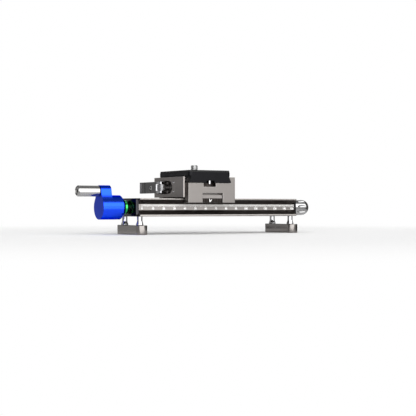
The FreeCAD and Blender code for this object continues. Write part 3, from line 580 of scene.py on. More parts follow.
# distance up the post and radius: a trumpet-shaped skirt, then the neck
postProfile = [(0, 2.85), (0.12, 3.05), (0.35, 3.1), (0.7, 3.04), (1.1, 2.9), (1.6, 2.7), (2.2, 2.48),
               (2.9, 2.32), (3.7, 2.25), (6.9, 2.25), (7.1, 2.2)]


def makeFootBar(name, node):
    low, high = span(node)
    x, radius = (low.x + high.x) / 2, (high.x - low.x) / 2
    bar = addBox(low, high)
    bevelEdges(bar, runs("z"), radius - near, 20)
    bevelEdges(bar, lambda a, b: abs(a.z - b.z) < near, foot["edge"], 4)
    cutMany(bar, [drill(foot["well"], (x, y, low.z), toTop, foot["wellDepth"], 0.25, 40)
                  for y in (-foot["postY"], foot["postY"])])
    finishPiece(bar, name, "rail", footGrey, node, smooth=30)


def capScrew(head, direction, sizes, shankLength, steps=40):
    # socket head screw; head is the middle of the head's outer face, direction points down the shank
    radius, length, shank = sizes["headRadius"], sizes["headLength"], sizes["shank"]
    profile = [(0, radius - 0.25), (0.25, radius), (length, radius), (length, shank),
               (length + shankLength, shank)]
    screw = turn(solid(profile), head, direction, steps)
    return cut(screw, hexTool(sizes["socket"], head, direction, sizes["socketDepth"]))


def makeFootPosts():
    places = [(middle(node).x, y) for node in ("foot_bar_left", "foot_bar_right")
              for y in (-foot["postY"], foot["postY"])]
    bottom = span("foot_posts")[0].z
    posts = turnMany(postProfile, [(x, y, bottom) for x, y in places], toTop)
    finishPiece(posts, "footPosts", "rail", chromePlate, "foot_posts", smooth=50)
    bottom = span("foot_screws")[0].z
    screws = [capScrew((x, y, bottom), toTop, foot, foot["shankLength"]) for x, y in places]
    finishPiece(joined(*screws), "footScrews", "rail", darkSteel, "foot_screws")


makeRail()
makeScale()
makeEndPlate("endPlateLeft", "end_plate_left", -1)
makeEndPlate("endPlateRight", "end_plate_right", 1)
makePlateScrews()
makeFootBar("footBarLeft", "foot_bar_left")
makeFootBar("footBarRight", "foot_bar_right")
makeFootPosts()
print("stage: rail made")


# lead screw, crank and fine knob

def helix(sizes, length, origin, direction, turnSteps=24):
    # thread: one pitch of the flank line, swept round and up by the Screw modifier, then trimmed and capped
    root, crest, pitch = sizes["root"], sizes["crest"], sizes["pitch"]
    obj = drawPath([(root, 0, 0), (crest, 0, 0.38 * pitch), (crest, 0, 0.52 * pitch), (root, 0, 0.9 * pitch),
                    (root, 0, pitch)])
    turns = int(length / pitch) + 2
    modify(obj, "SCREW", angle=math.tau, screw_offset=pitch * mm, iterations=turns, steps=turnSteps,
           render_steps=turnSteps, axis="Z", use_merge_vertices=True, merge_threshold=0.001 * mm)
    obj.location = (0, 0, -pitch * mm)
    bakePlace(obj)
    weld(obj)
    wide = crest + over
    for start, end in ((length, length + 3 * pitch), (-2 * pitch, 0)):
        cut(obj, addBox((-wide, -wide, start), (wide, wide, end)), solver="MANIFOLD")
    return placeAlong(obj, origin, direction)


leadScrew = {"thread": 74.9, "journal": 2.5, "crest": 3.0, "root": 2.42, "pitch": 1.0, "overlap": 0.3}


def makeLeadScrew():
    low, high = span("lead_screw")
    reach, lap = leadScrew["thread"], leadScrew["overlap"]
    thread = helix(leadScrew, 2 * reach, (-reach, 0, axisZ), toRight)
    ends = [rod(leadScrew["journal"], (start, 0, axisZ), (end, 0, axisZ), 48, 0.3)
            for start, end in ((low.x, lap - reach), (reach - lap, high.x))]
    finishPiece(joined(thread, *ends), "leadScrew", "screw", brightSteel, "lead_screw",
                smooth=28)


crank = {"radius": 10.0, "nose": 3.0, "edge": 0.45, "lobe": 4.8, "lobeThick": 9.2, "hollow": 20.0,
         "shaft": 2.5, "spindle": 2.1, "spindleDepth": 7, "setScrew": 1.5, "setScrewDepth": 8,
         "socket": 0.8, "socketDepth": 1.5}


def arcPoints(centre, radius, start, end, steps):
    # points of an arc in a plane; angles in radians
    angles = [start + (end - start) * index / steps for index in range(steps + 1)]
    return [(centre[0] + radius * math.cos(angle), centre[1] + radius * math.sin(angle)) for angle in angles]


def lobeOutline():
    # round the grip and the shaft, joined by hollow sides that touch both
    drum, small, hollow = crank["radius"] - 0.05, crank["lobe"], crank["hollow"]
    rise = gripZ - axisZ
    up = ((hollow + drum) ** 2 + rise ** 2 - (hollow + small) ** 2) / (2 * rise)
    out = math.sqrt((hollow + drum) ** 2 - up ** 2)
    toDrum = math.atan2(up, out)
    toLobe = math.atan2(up - rise, out)
    points = arcPoints((0, gripZ), small, toLobe, math.pi - toLobe, 24)[:-1]
    points += arcPoints((-out, axisZ + up), hollow, -toLobe, -toDrum, 8)[:-1]
    points += arcPoints((0, axisZ), drum, math.pi - toDrum, math.tau + toDrum, 40)[:-1]
    points += arcPoints((out, axisZ + up), hollow, math.pi + toDrum, math.pi + toLobe, 8)[:-1]
    return points


def makeCrank():
    low, high = span("crank_knob")
    left, right, radius, nose = low.x, high.x, crank["radius"], crank["nose"]
    length = right - left
    drum = turn(solid([(0.02, radius), (length - nose, radius), (length, radius - nose)]), (left, 0, axisZ),
                toRight, 96)
    knob = fuse(drum, prism("x", lobeOutline(), left, left + crank["lobeThick"]))
    softEdges(knob, crank["edge"], segments=3, angle=28)
    coverWith(knob, knobBlue, knobBlueFace)
    screwX = middle("crank_set_screw").x
    shaftDepth = right - span("lead_screw")[0].x
    holes = [drill(crank["setScrew"], (screwX, 0, axisZ - radius), toTop, crank["setScrewDepth"], 0.2),
             drill(crank["shaft"], (right, 0, axisZ), toLeft, shaftDepth, 0.2, 48),
             drill(crank["spindle"], (left, 0, gripZ), toRight, crank["spindleDepth"], 0.2)]
    cut(knob, *holes, solver="MANIFOLD")
    paintFaces(knob, 1, lambda p, n: n.x < -0.98 and p.x < left + 0.05)
    finishPiece(knob, "crankKnob", "screw", knobBlue, "crank_knob", smooth=30)
    mouth = (screwX, 0, span("crank_set_screw")[0].z)
    screw = setScrew(crank["setScrew"] - 0.05, mouth, (screwX, 0, axisZ - crank["shaft"]), 0.2,
                     crank["socket"], crank["socketDepth"], 32)
    finishPiece(screw, "crankSetScrew", "screw", darkSteel, "crank_set_screw")


# distance along and radius, from the crank towards the rail
collarProfile = [(0, 2.5), (0, 4.8), (0.2, 5.0), (1.0, 5.4), (1.8, 5.7), (2.4, 5.8), (2.85, 5.7), (3.2, 5.45),
                 (3.4, 5.0), (3.45, 4.3), (3.85, 4.3), (4.0, 4.15), (4.0, 2.5)]


def makeCollar():
    collar = turn(ring(collarProfile), (span("shaft_collar")[0].x, 0, axisZ), toRight, 72)
    finishPiece(collar, "shaftCollar", "screw", collarGreen, "shaft_collar", smooth=40)


grip = {"bore": 2.15, "well": 3.325, "wellDepth": 4.1, "headRadius": 3.2, "headLength": 3.2, "shank": 2.08,
        "socket": 1.6, "socketDepth": 1.8}


def makeGrip():
    low, high = span("crank_grip")
    length, r = high.x - low.x, (high.z - low.z) / 2
    well, deep, bore = grip["well"], grip["wellDepth"], grip["bore"]
    body = turn(ring([
        (0, well + 0.12), (0.05, well + 0.25), (0.3, 3.8), (0.95, r - 0.2), (1.3, r), (length - 0.5, r),
        (length, r - 0.5), (length, bore), (deep, bore), (deep, well), (0.15, well)]),
        (low.x, 0, gripZ), toRight, 72)
    softEdges(body, 0.1, angle=25)
    finishPiece(body, "crankGrip", "grip", gripSteel, "crank_grip")
    start, end = span("grip_spindle")
    spindle = capScrew((start.x, 0, gripZ), toRight, grip, end.x - start.x - grip["headLength"])
    finishPiece(spindle, "gripSpindle", "screw", gripSteel, "grip_spindle")


fineKnob = {"neck": 5.9, "dome": 6.6, "edge": 0.12, "shaft": 2.5, "shaftDepth": 11.9,
            "flutes": 9, "firstFlute": 0.2175, "fluteAt": 12.4, "fluteSize": (4.7, 1.5, 1.5),
            "fluteDeep": 1.15, "screwAt": 1.4, "screw": 1.25, "socket": 0.65, "socketDepth": 0.9}


def makeFineKnob():
    low, high = span("fine_knob")
    left, length, radius = low.x, high.x - low.x, (high.z - low.z) / 2
    neck, dome = fineKnob["neck"], fineKnob["dome"]
    profile = [(0, neck - 0.3), (0.3, neck), (2.4, neck), (2.6, neck - 0.3), (3.2, neck - 0.3),
               (3.4, radius - 0.35), (3.75, radius)]
    # the dome is a little squarer than round
    for index in range(13):
        angle = math.pi / 2 * index / 12
        profile.append((length - dome + dome * math.sin(angle), max(radius * math.cos(angle) ** 0.8, 0.6)))
    knob = turn(solid(profile), (left, 0, axisZ), toRight, 96)
    reach = radius + fineKnob["fluteSize"][1] - fineKnob["fluteDeep"]
    for index in range(fineKnob["flutes"]):
        angle = math.tau * (index + fineKnob["firstFlute"]) / fineKnob["flutes"]
        selectOnly()
        place = Vector((left + fineKnob["fluteAt"], -reach * math.cos(angle),
                        axisZ + reach * math.sin(angle)))
        bpy.ops.mesh.primitive_uv_sphere_add(
            segments=32, ring_count=20, radius=mm, location=place * mm, scale=fineKnob["fluteSize"])
        cut(knob, bakePlace(bpy.context.object))
    screwX = left + fineKnob["screwAt"]
    cut(knob, drill(fineKnob["shaft"], (left, 0, axisZ), toRight, fineKnob["shaftDepth"], 0.2, 48))
    cut(knob, drill(fineKnob["screw"], (screwX, 0, axisZ - neck), toTop, neck - 1))
    softEdges(knob, fineKnob["edge"], angle=24)
    finishPiece(knob, "fineKnob", "screw", knobSteel, "fine_knob", smooth=24)
    mouth = (screwX, 0, axisZ - neck + 0.4)
    screw = setScrew(fineKnob["screw"] - 0.1, mouth, (screwX, 0, axisZ - fineKnob["shaft"]), 0.1,
                     fineKnob["socket"], fineKnob["socketDepth"])
    finishPiece(screw, "fineKnobSetScrew", "screw", darkSteel, "fine_knob_set_screw")


makeLeadScrew()
makeCrank()
makeCollar()
makeGrip()
makeFineKnob()
print("stage: lead screw, crank and fine knob made")


# carriage

block = {"floor": 28.0, "edge": 0.28, "fixedJaw": [(2.45, 33.0), (2.45, 32.25), (3.95, 29.25), (3.95, 28.0)],
         "under": [(-17.229, 11.0), (-19.3, 12.8125), (-19.3, 15.3), (19.3, 15.3), (19.3, 12.8125),
                   (17.229, 11.0)],
         "bay": 20.3, "bayLow": 14.3, "bayRight": -24.05, "recessHalf": 9.7, "recessBack": -21.0,
         "recessTop": 19.5, "notchHalf": 5.8, "notchWall": 21.45, "notchFloor": 24.7,
         "gibX": (-28.0, -14.0, 0.0), "gibRadius": 0.8, "gibDepth": 7.4, "gibSocket": 0.42,
         "gibSocketDepth": 0.8, "boltRadius": 2.75, "boltDepth": 3.2, "springRadius": 3.0,
         "springX": (-24.5, -16.35), "pinRadius": 0.95, "pinEnd": -12.2}
gibZ = middle("gib_screws").z
boltY = middle("draw_bolt").y
rodY = span("guide_rods")[1].y - 2.0
rodZ = middle("guide_rods").z
pinZ = middle("button_springs").z
pinPlaces = [span("button_springs")[0].x + 0.9, span("button_springs")[1].x - 0.9]


def makeBlock():
    low, high = span("carriage_block")
    x0, x1, half, floor = low.x, high.x, high.y, block["floor"]
    outline = [(x0, low.z), (x1, low.z), (x1, high.z)] + block["fixedJaw"] + [(x0, floor)]
    body = prism("y", outline, -half, half)
    cut(body, prism("x", block["under"], x0 - over, x1 + over))
    cut(body, addBox((x0 - over, -block["bay"], block["bayLow"]), (block["bayRight"], block["bay"], high.z)))
    recessX, recess = middle("release_button").x, block["recessHalf"]
    cut(body, addBox((recessX - recess, -half - over, low.z - over),
                     (recessX + recess, block["recessBack"], block["recessTop"])))
    notch, wall, notchFloor = block["notchHalf"], block["notchWall"], block["notchFloor"]
    cutSides(body, Vector((plateX - notch, low.y, notchFloor)), Vector((plateX + notch, half, floor + over)),
             wall)
    coverWith(body, carriageGrey, carriageEdgeHighlight, paintedShadeGrey)
    # the bevels take the second material, a painted edge highlight
    softEdges(body, block["edge"], edgeSlot=1)
    # painted shade in the notches and on the downward faces of the edge over the rail
    paintFaces(body, 2, lambda p, n: abs(p.x - plateX) < notch + 0.02 and notchFloor - 0.02 < p.z
               and wall - 0.02 < abs(p.y) < half - 0.05)
    paintFaces(body, 2, lambda p, n: p.z < low.z + block["edge"] and n.z < -0.2)
    tools = [drill(block["gibRadius"], (x, half, gibZ), (0, -1, 0), block["gibDepth"], 0.15, 24)
             for x in block["gibX"]]
    tools.append(drill(block["boltRadius"], (x1, boltY, leverZ), toLeft, block["boltDepth"], 0.2, 40))
    start, end = block["springX"]
    tools += [rod(block["springRadius"], (start, y, rodZ), (end, y, rodZ)) for y in (-rodY, rodY)]
    tools += [rod(block["pinRadius"], (x, block["recessBack"] - 0.5, pinZ), (x, block["pinEnd"], pinZ))
              for x in pinPlaces]
    cutMany(body, tools)
    finishPiece(body, "carriageBlock", "carriage", carriageGrey, "carriage_block",
                smooth=30)


drawBolt = {"headRadius": 2.7, "headLength": 3.0, "shank": 1.6, "socket": 1.4, "socketDepth": 1.8, "eye": 3.3,
            "eyeHalf": 2.5, "bore": 1.32}


def makeCarriageScrews():
    low, high = span("gib_screws")
    made = [setScrew(block["gibRadius"] - 0.03, (x, high.y, gibZ), (x, low.y, gibZ), 0.1,
                     block["gibSocket"], block["gibSocketDepth"]) for x in block["gibX"]]
    finishPiece(joined(*made), "gibScrews", "carriage", darkSteel, "gib_screws")
    right = span("draw_bolt")[1].x
    pivot = middle("lever_pin")
    bolt = capScrew((right, boltY, leverZ), toLeft, drawBolt, right - drawBolt["headLength"] - pivot.x - 2.0)
    eye, half, bore = drawBolt["eye"], drawBolt["eyeHalf"], drawBolt["bore"]
    eye = turn(ring([(0, bore), (0, eye - 0.25), (0.25, eye), (2 * half - 0.25, eye), (2 * half, eye - 0.25),
                     (2 * half, bore)]), (pivot.x, pivot.y, leverZ - half), toTop, 56)
    finishPiece(joined(bolt, eye), "drawBolt", "carriage", eyeSteel, "draw_bolt")


def coil(radius, wire, length, origin, direction):
    # round wire wound by the Screw modifier, closed at its ends
    turns = 6
    selectOnly()
    bpy.ops.mesh.primitive_circle_add(
        vertices=10, radius=wire * mm, location=(radius * mm, 0, wire * mm), rotation=(math.pi / 2, 0, 0))
    obj = bakePlace(bpy.context.object)
    lift = (length - 2 * wire) / turns
    modify(obj, "SCREW", angle=math.tau * turns, screw_offset=lift * turns * mm, iterations=1,
           steps=28 * turns, render_steps=28 * turns, axis="Z")
    editAll(obj, "EDGE")
    selectAll("DESELECT")
    bpy.ops.mesh.select_non_manifold()
    bpy.ops.mesh.edge_face_add()
    return placeAlong(turnOutwards(obj), origin, direction)


def makeSprings():
    low, high = span("jaw_springs")
    made = [coil(2.5, 0.28, high.x - low.x, (low.x, y, rodZ), toRight) for y in (-rodY, rodY)]
    finishPiece(joined(*made), "jawSprings", "jaw", brightSteel, "jaw_springs",
                stretch=("carriage", (low.x, 0, rodZ), (high.x, 0, rodZ)))
    low, high = span("button_springs")
    made = [coil(0.68, 0.16, high.y - low.y, (x, low.y, pinZ), (0, 1, 0)) for x in pinPlaces]
    finishPiece(joined(*made), "buttonSprings", "button", brightSteel, "button_springs",
                stretch=("carriage", (0, low.y, pinZ), (0, high.y, pinZ)))


button = {"back": -22.8, "band": 2.8, "lean": 0.5, "edge": 0.18, "groovePitch": 1.55, "grooveDepth": 0.42,
          "pin": 0.9, "pointer": [(-3.1, 3.1), (-2.65, 3.1), (-2.45, 1.4), (-0.75, 2.6), (-0.5, 2.25),
                                  (-2.35, 0.35), (-2.8, 0.35)]}


def makeButton():
    low, high = span("release_button")
    x0, x1, front, back, top = low.x, high.x, low.y, button["back"], high.z
    bandLow = top - button["band"]
    outline = [(front, low.z), (back, low.z), (back, top), (front + button["lean"], top), (front, bandLow)]
    body = prism("x", outline, x0, x1)
    softEdges(body, button["edge"], angle=20)
    pitch, depth = button["groovePitch"], button["grooveDepth"]
    centre = (x0 + x1) / 2
    count = int((x1 - x0) / pitch)
    tools = []
    for index in range(count):
        x = centre + (index - (count - 1) / 2) * pitch
        outline = [(x - depth, front - 0.1), (x - 0.1, front + depth), (x + 0.1, front + depth),
                   (x + depth, front - 0.1)]
        tools.append(prism("z", outline, low.z - over / 2, bandLow))
    cutMany(body, tools)
    fuse(body, *[rod(button["pin"], (x, back - 0.1, pinZ), (x, high.y, pinZ), 24, 0.15) for x in pinPlaces])
    coverWith(body, buttonBlack, buttonBand)
    paintFaces(body, 1, lambda p, n: p.z > bandLow and n.y < -0.2 and p.y < back)
    finishPiece(body, "releaseButton", "button", buttonBlack, "release_button", smooth=30)
    # small white pointer let into the ridges
    outline = [(centre + x, low.z + z) for x, z in button["pointer"]]
    mark = prism("y", outline, front - 0.03, front + depth + 0.07)
    finishPiece(mark, "buttonPointer", "button", scaleWhite)


makeBlock()
makeCarriageScrews()
makeSprings()
makeButton()
print("stage: carriage made")


# moving jaw and lever

jaw = {"skin": 1.5, "round": 1.2, "edge": 0.22, "tongue": 20.0, "pocketHalf": 5.6, "pocketY": (-7.0, 22.0),
       "pocketFloor": -37.15, "boltHole": 1.9, "rodHole": 2.05, "rodHoleLeft": -36.6, "pinDepth": 3.2,
       "section": [(-24.35, 15.9), (-24.35, 27.7), (-36.35, 27.7), (-36.35, 29.25), (-34.85, 32.25),
                   (-34.85, 33.0)]}
pocketScrew = {"headRadius": 1.3, "headLength": 0.9, "shank": 0.7, "shankLength": 0.3, "socket": 0.6,
               "socketDepth": 0.5, "y": -2.6}


def makeJaw():
    low, high = span("moving_jaw")
    left, half, pastRight = low.x, high.y, high.x + over
    body = prism("y", [(left, low.z)] + jaw["section"] + [(left, high.z)], -half, half)
    cutSides(body, Vector((left + jaw["skin"], low.y, low.z - over)),
             Vector((pastRight, half, high.z + over)), jaw["tongue"])
    atLeft = lies("x", left)
    bevelEdges(body, lambda a, b: atLeft(a, b) and abs(abs(a.y) - half) < near and abs(a.y - b.y) < near,
               jaw["round"], 5)
    y0, y1 = jaw["pocketY"]
    tall = jaw["pocketHalf"]
    pocket = addBox((left - over, y0, leverZ - tall), (jaw["pocketFloor"], y1, leverZ + tall))
    bevelEdges(pocket, runs("x"), tall - 0.02, 12)
    cut(body, pocket)
    coverWith(body, jawGrey, carriageEdgeHighlight)
    # the bevels take the second material, a painted edge highlight
    softEdges(body, jaw["edge"], angle=38, edgeSlot=1)
    pinLow, pinHigh = span("jaw_pins")
    radius = (pinHigh.y - pinLow.y) / 2
    pins = [((pinLow.y + pinHigh.y) / 2, z) for z in (pinLow.z + radius, pinHigh.z - radius)]
    tools = [rod(jaw["boltHole"], (jaw["pocketFloor"] - 0.5, boltY, leverZ), (pastRight, boltY, leverZ))]
    tools += [rod(jaw["rodHole"], (jaw["rodHoleLeft"], y, rodZ), (pastRight, y, rodZ)) for y in (-rodY, rodY)]
    tools += [drill(radius, (left, y, z), toRight, jaw["pinDepth"], 0.12, 24) for y, z in pins]
    cutMany(body, tools)
    finishPiece(body, "movingJaw", "jaw", jawGrey, "moving_jaw", smooth=30)
    profile = [(0, radius - 0.3), (0.12, radius - 0.1), (0.3, radius - 0.02), (3.4, radius - 0.02)]
    made = turnMany(profile, [(pinLow.x, y, z) for y, z in pins], toRight, 32)
    finishPiece(made, "jawPins", "jaw", chromePlate, "jaw_pins", smooth=50)
    # small screw on the pocket's floor
    head = (jaw["pocketFloor"] - pocketScrew["headLength"], pocketScrew["y"], leverZ)
    screw = capScrew(head, toRight, pocketScrew, pocketScrew["shankLength"], 28)
    finishPiece(screw, "pocketScrew", "jaw", brightSteel)


lever = {"cam": (-41.85, 8.0), "camRadius": 4.2, "armRight": -42.0, "armHalf": 4.85, "endRound": 1.8,
         "heelRound": 1.5, "heelEnd": 12.2, "armEdge": 0.22, "camEdge": 0.3, "slotHalf": 2.8, "slotEnd": 11.6,
         "slant": (2.4, 1.3), "screw": 2.25, "screwDepth": 2.2, "pinHole": 1.27, "pin": 1.25, "socket": 1.1,
         "socketDepth": 1.2, "scoop": (36.4, 12.3, 0.45), "ridges": (40.9, 4, 1.1), "ridgeHalf": 0.32}


def knuckleOutline(left, front):
    # squared heel with one round corner, and the cam's round side, cut off straight at the front
    radius, corner = lever["camRadius"], lever["heelRound"]
    start = -math.asin((lever["cam"][1] - front) / radius)
    points = [(left, lever["heelEnd"])]
    points += arcPoints((left + corner, front + corner), corner, math.pi, 1.5 * math.pi, 8)
    points += arcPoints(lever["cam"], radius, start, math.pi / 2, 28)
    return points


def makeLever():
    low, high = span("clamp_lever")
    left, front, end = low.x, low.y, high.y
    armLow, armHigh = leverZ - lever["armHalf"], leverZ + lever["armHalf"]
    camX, camY = lever["cam"]
    arm = addBox((left, camY, armLow), (lever["armRight"], end, armHigh))
    bevelEdges(arm, lambda a, b: abs(a.z - b.z) > 1 and abs(a.y - end) < near, lever["endRound"], 6)
    # thumb scoop and upright ridges near the tip, on the outer face
    scoopY, scoopRadius, scoopDeep = lever["scoop"]
    centreX = left + scoopDeep - scoopRadius
    cut(arm, rod(scoopRadius, (centreX, scoopY, armLow - over), (centreX, scoopY, armHigh + over), 128))
    softEdges(arm, lever["armEdge"], angle=35)
    firstY, count, pitch = lever["ridges"]
    tools = []
    for index in range(count):
        y = firstY + index * pitch
        outline = [(left - 0.1, y - lever["ridgeHalf"]), (left + 0.3, y),
                   (left - 0.1, y + lever["ridgeHalf"])]
        tools.append(prism("z", outline, armLow + 1.0, armHigh - 1.0))
    cutMany(arm, tools)
    knuckle = prism("z", knuckleOutline(left, front), low.z, high.z)
    softEdges(knuckle, lever["camEdge"], segments=3, angle=35)
    body = fuse(knuckle, arm)
    slantX, slantY = lever["slant"]
    slotEnd = lever["slotEnd"]
    inside, outside, before = camX + lever["camRadius"] + over, left - over, front - over
    cut(body, prism("z", [(outside, before), (inside, before), (inside, slotEnd), (left + slantX, slotEnd),
                          (left, slotEnd + slantY), (outside, slotEnd + slantY)],
                    leverZ - lever["slotHalf"], leverZ + lever["slotHalf"]))
    pin = middle("lever_pin")
    cut(body, rod(lever["pinHole"], (pin.x, pin.y, low.z - over), (pin.x, pin.y, high.z + over)))
    screwY = middle("lever_screw").y
    cut(body, drill(lever["screw"], (left, screwY, leverZ), toRight, lever["screwDepth"], 0.45, 48))
    coverWith(body, leverGrey, leverHighlightGrey)
    # painted highlight: the lighter grey on the knuckle and the arm's slanted near end
    paintFaces(body, 1, lambda p, n: p.y < slotEnd + slantY + 0.1)
    finishPiece(body, "clampLever", "lever", leverGrey, "clamp_lever", smooth=30)
    radius, tall = lever["pin"], high.z - low.z
    profile = [(0, radius - 0.25), (0.2, radius), (tall - 0.2, radius), (tall, radius - 0.25)]
    pin = turn(solid(profile), (pin.x, pin.y, low.z), toTop, 40)
    finishPiece(pin, "leverPin", "lever", chromePlate, "lever_pin", smooth=40)
    mouth = (left + 0.12, screwY, leverZ)
    screw = turn(solid([(0, 1.6), (0.3, 2.0), (0.8, 2.15), (2.05, 2.15)]), mouth, toRight, 48)
    cut(screw, hexTool(lever["socket"], mouth, toRight, lever["socketDepth"]))
    finishPiece(screw, "leverScrew", "lever", gripSteel, "lever_screw")


makeJaw()
makeLever()
print("stage: clamp made")


# camera plate

plate = {"neck": 18.5, "flankLow": 29.25, "flankHigh": 32.25, "slabLow": 33.8, "corner": 3.0, "edge": 0.25,
         "ribPitch": 1.5, "ribDepth": 0.32, "ribReach": 21.0, "ribMouth": 0.48, "ribFloor": 0.22,
         "ribTop": 0.8,
         "slotHalf": 4.0, "slotWall": 24.3, "slotTop": 29.8, "well": 7.8, "wellDepth": 4.4, "hole": 3.275}


def makePlate():
    low, high = span("camera_plate")
    x, half, deep, neck = plateX, (high.x - low.x) / 2, high.y, plate["neck"]
    slabLow, slot = plate["slabLow"], plate["slotHalf"]
    # the foot under the slab, right side first and then its mirror
    side = [(half, low.z), (half, plate["flankLow"]), (neck, plate["flankHigh"]), (neck, slabLow + 0.5)]
    outline = [(x - half, low.z)] + [(x + out, z) for out, z in side]
    outline += [(x - out, z) for out, z in side[:0:-1]]
    under = prism("y", outline, near - deep, deep - near)
    slab = addBox((x - half, -deep, slabLow), (x + half, deep, high.z))
    bevelEdges(slab, runs("z"), plate["corner"], 8)
    body = fuse(slab, under)
    cutSides(body, Vector((x - slot, low.y, low.z - over)), Vector((x + slot, deep, plate["slotTop"])),
             plate["slotWall"])
    coverWith(body, plateBlack, plateEdgeHighlight)
    # the bevels take the second material, a painted edge highlight
    softEdges(body, plate["edge"], edgeSlot=1)
    mouth, floor = plate["ribMouth"], plate["ribFloor"]
    tools = []
    for index in range(int(2 * plate["ribReach"] / plate["ribPitch"]) + 1):
        y = -plate["ribReach"] + index * plate["ribPitch"]
        for side in (-1, 1):
            face = x + side * half
            a, b = face + side * 0.1, face - side * plate["ribDepth"]
            outline = [(a, y - mouth), (b, y - floor), (b, y + floor), (a, y + mouth)]
            tools.append(prism("z", outline, slabLow + 0.5, high.z - plate["ribTop"]))
    cutMany(body, tools, solver="MANIFOLD")
    cut(body, drill(plate["well"], (x, 0, low.z), toTop, plate["wellDepth"], 0.3, 64), solver="MANIFOLD")
    cut(body, rod(plate["hole"], (x, 0, low.z), (x, 0, high.z + over), 40), solver="MANIFOLD")
    finishPiece(body, "cameraPlate", "plate", plateBlack, "camera_plate", smooth=30)
    pinLow, pinHigh = span("plate_stop_pins")
    radius = (pinHigh.x - pinLow.x) / 2
    profile = [(0, radius - 0.3), (0.25, radius), (pinHigh.z - pinLow.z, radius)]
    places = [(x, y, pinLow.z) for y in (pinLow.y + radius, pinHigh.y - radius)]
    pins = turnMany(profile, places, toTop, 40)
    finishPiece(pins, "plateStopPins", "plate", chromePlate, "plate_stop_pins", smooth=40)


pad = {"corner": 2.7, "edge": 0.35, "groove": 2.3, "grooveHalf": 0.35, "grooveDepth": 0.45, "rim": 1.6,
       "ring": 5.6, "hole": 3.475, "endRoom": 2.5}


def makePad():
    low, high = span("plate_pad")
    x, half, deep = plateX, (high.x - low.x) / 2, high.y
    body = addBox(low, high)
    bevelEdges(body, runs("z"), pad["corner"], 8)
    bevelEdges(body, lies("z", high.z), pad["edge"], 3)
    count = int((deep - pad["endRoom"]) / pad["groove"])
    wide, floorZ, reach = pad["grooveHalf"], high.z - pad["grooveDepth"], half - pad["rim"]
    places = [index * pad["groove"] for index in range(-count, count + 1)]
    cutMany(body, [addBox((x - reach, y - wide, floorZ), (x + reach, y + wide, high.z + over / 2))
                   for y in places])
    cut(body, rod(pad["ring"], (x, 0, floorZ), (x, 0, high.z + over), 48))
    cut(body, rod(pad["hole"], (x, 0, low.z - over), (x, 0, high.z + over), 40))
    softEdges(body, 0.08, segments=1, angle=50)
    finishPiece(body, "platePad", "plate", padRubber, "plate_pad")


cameraScrew = {"head": 7.5, "headHeight": 2.8, "shank": 2.4, "slotHalf": 0.8, "slotDepth": 1.4, "root": 2.5,
               "crest": 3.175, "pitch": 1.27, "threadLength": 4.6, "tip": 2.35}


def makeCameraScrew():
    low, high = span("camera_screw")
    x, radius, tall, shank = plateX, cameraScrew["head"], cameraScrew["headHeight"], cameraScrew["shank"]
    seat = span("plate_pad")[1].z
    head = turn(solid([(0, radius - 0.4), (0.4, radius), (tall - 0.4, radius), (tall, radius - 0.3),
                       (tall, shank), (seat + 0.35 - low.z, shank)]), (x, 0, low.z), toTop, 72)
    slot, wide = cameraScrew["slotHalf"], radius + over
    cut(head, addBox((x - wide, -slot, low.z - over), (x + wide, slot, low.z + cameraScrew["slotDepth"])))
    length = cameraScrew["threadLength"]
    thread = helix(cameraScrew, length, (x, 0, seat), toTop, 40)
    profile = [(-0.02, 2.7), (0, 2.75), (high.z - seat - length, cameraScrew["tip"])]
    tip = turn(solid(profile), (x, 0, seat + length), toTop, 40)
    finishPiece(joined(head, thread, tip), "cameraScrew", "camera_stud", brightSteel,
                "camera_screw", smooth=30)


makePlate()
makePad()
makeCameraScrew()
print("stage: camera plate made")


# finishes of the nodes that keep their solids

keptFinish = {
    "screw_bearing_left": bearingBronze, "screw_bearing_right": bearingBronze, "thrust_washers": darkSteel,
    "lead_nut": bearingBronze, "nut_screws": darkSteel, "glide_strip_front": glideNylon,
    "glide_strip_rear": glideNylon, "guide_rods": brightSteel, "camera_screw_clip": glideNylon,
}
for name, kind in keptFinish.items():
    nodes[name].data.materials.clear()
    nodes[name].data.materials.append(kind)
print("stage: kept nodes finished")


# floor, light and camera

studio = {"floorHalf": 1.6, "floorTone": 0.87, "fade": (0.16, 0.5), "mirrorFade": (0.08, 0.2), "peak": 3.4,
          "topPlace": (0.0, 0.0, 0.9), "topSize": (1.2, 1.0), "topPower": 3.2,
          "softbox": (0.06, 0.16), "ceiling": (0.60, 0.74), "ceilingLevel": 0.28, "zenith": (0.93, 0.985),
          "zenithLevel": 0.9, "backdrop": -0.97, "ahead": (-0.5, -0.866, 0), "aside": (0.866, -0.5, 0)}
# light round the horizon, as (degrees from the camera's side, level); 180 is the white backdrop
ringLight = [(-180, 1.0), (-166, 1.0), (-160, 0.10), (-134, 0.10), (-124, 0.57), (-34, 0.57), (-26, 3.2),
             (50, 3.4), (57, 0.62), (88, 0.52), (94, 0.08), (160, 0.08), (166, 1.0), (180, 1.0)]
# the raised softbox beside the camera, same measure
sideLight = [(40, 0.0), (48, 3.2), (80, 3.2), (92, 0.0)]
view = {"place": (-0.44265, -0.76206, 0.0070), "towards": (0.5, 0.8660254, 0.0), "sensor": 36.0, "lens": 88.2,
        "clip": (0.05, 20.0)}


def between(tree, value, limits):
    return addNode(tree, "MapRange", interpolation_type="SMOOTHSTEP", inputs={
        "Value": value, "From Min": limits[0], "From Max": limits[1]}).outputs[0]


def mixOf(tree, share, a, b):
    return addNode(tree, "Mix", data_type="FLOAT", inputs={0: share, 2: a, 3: b}).outputs[0]


def straightRays(tree, path):
    # 1 for the camera's own rays and for those through glass
    return mathOf(tree, "MAXIMUM", path["Is Camera Ray"], path["Is Transmission Ray"])


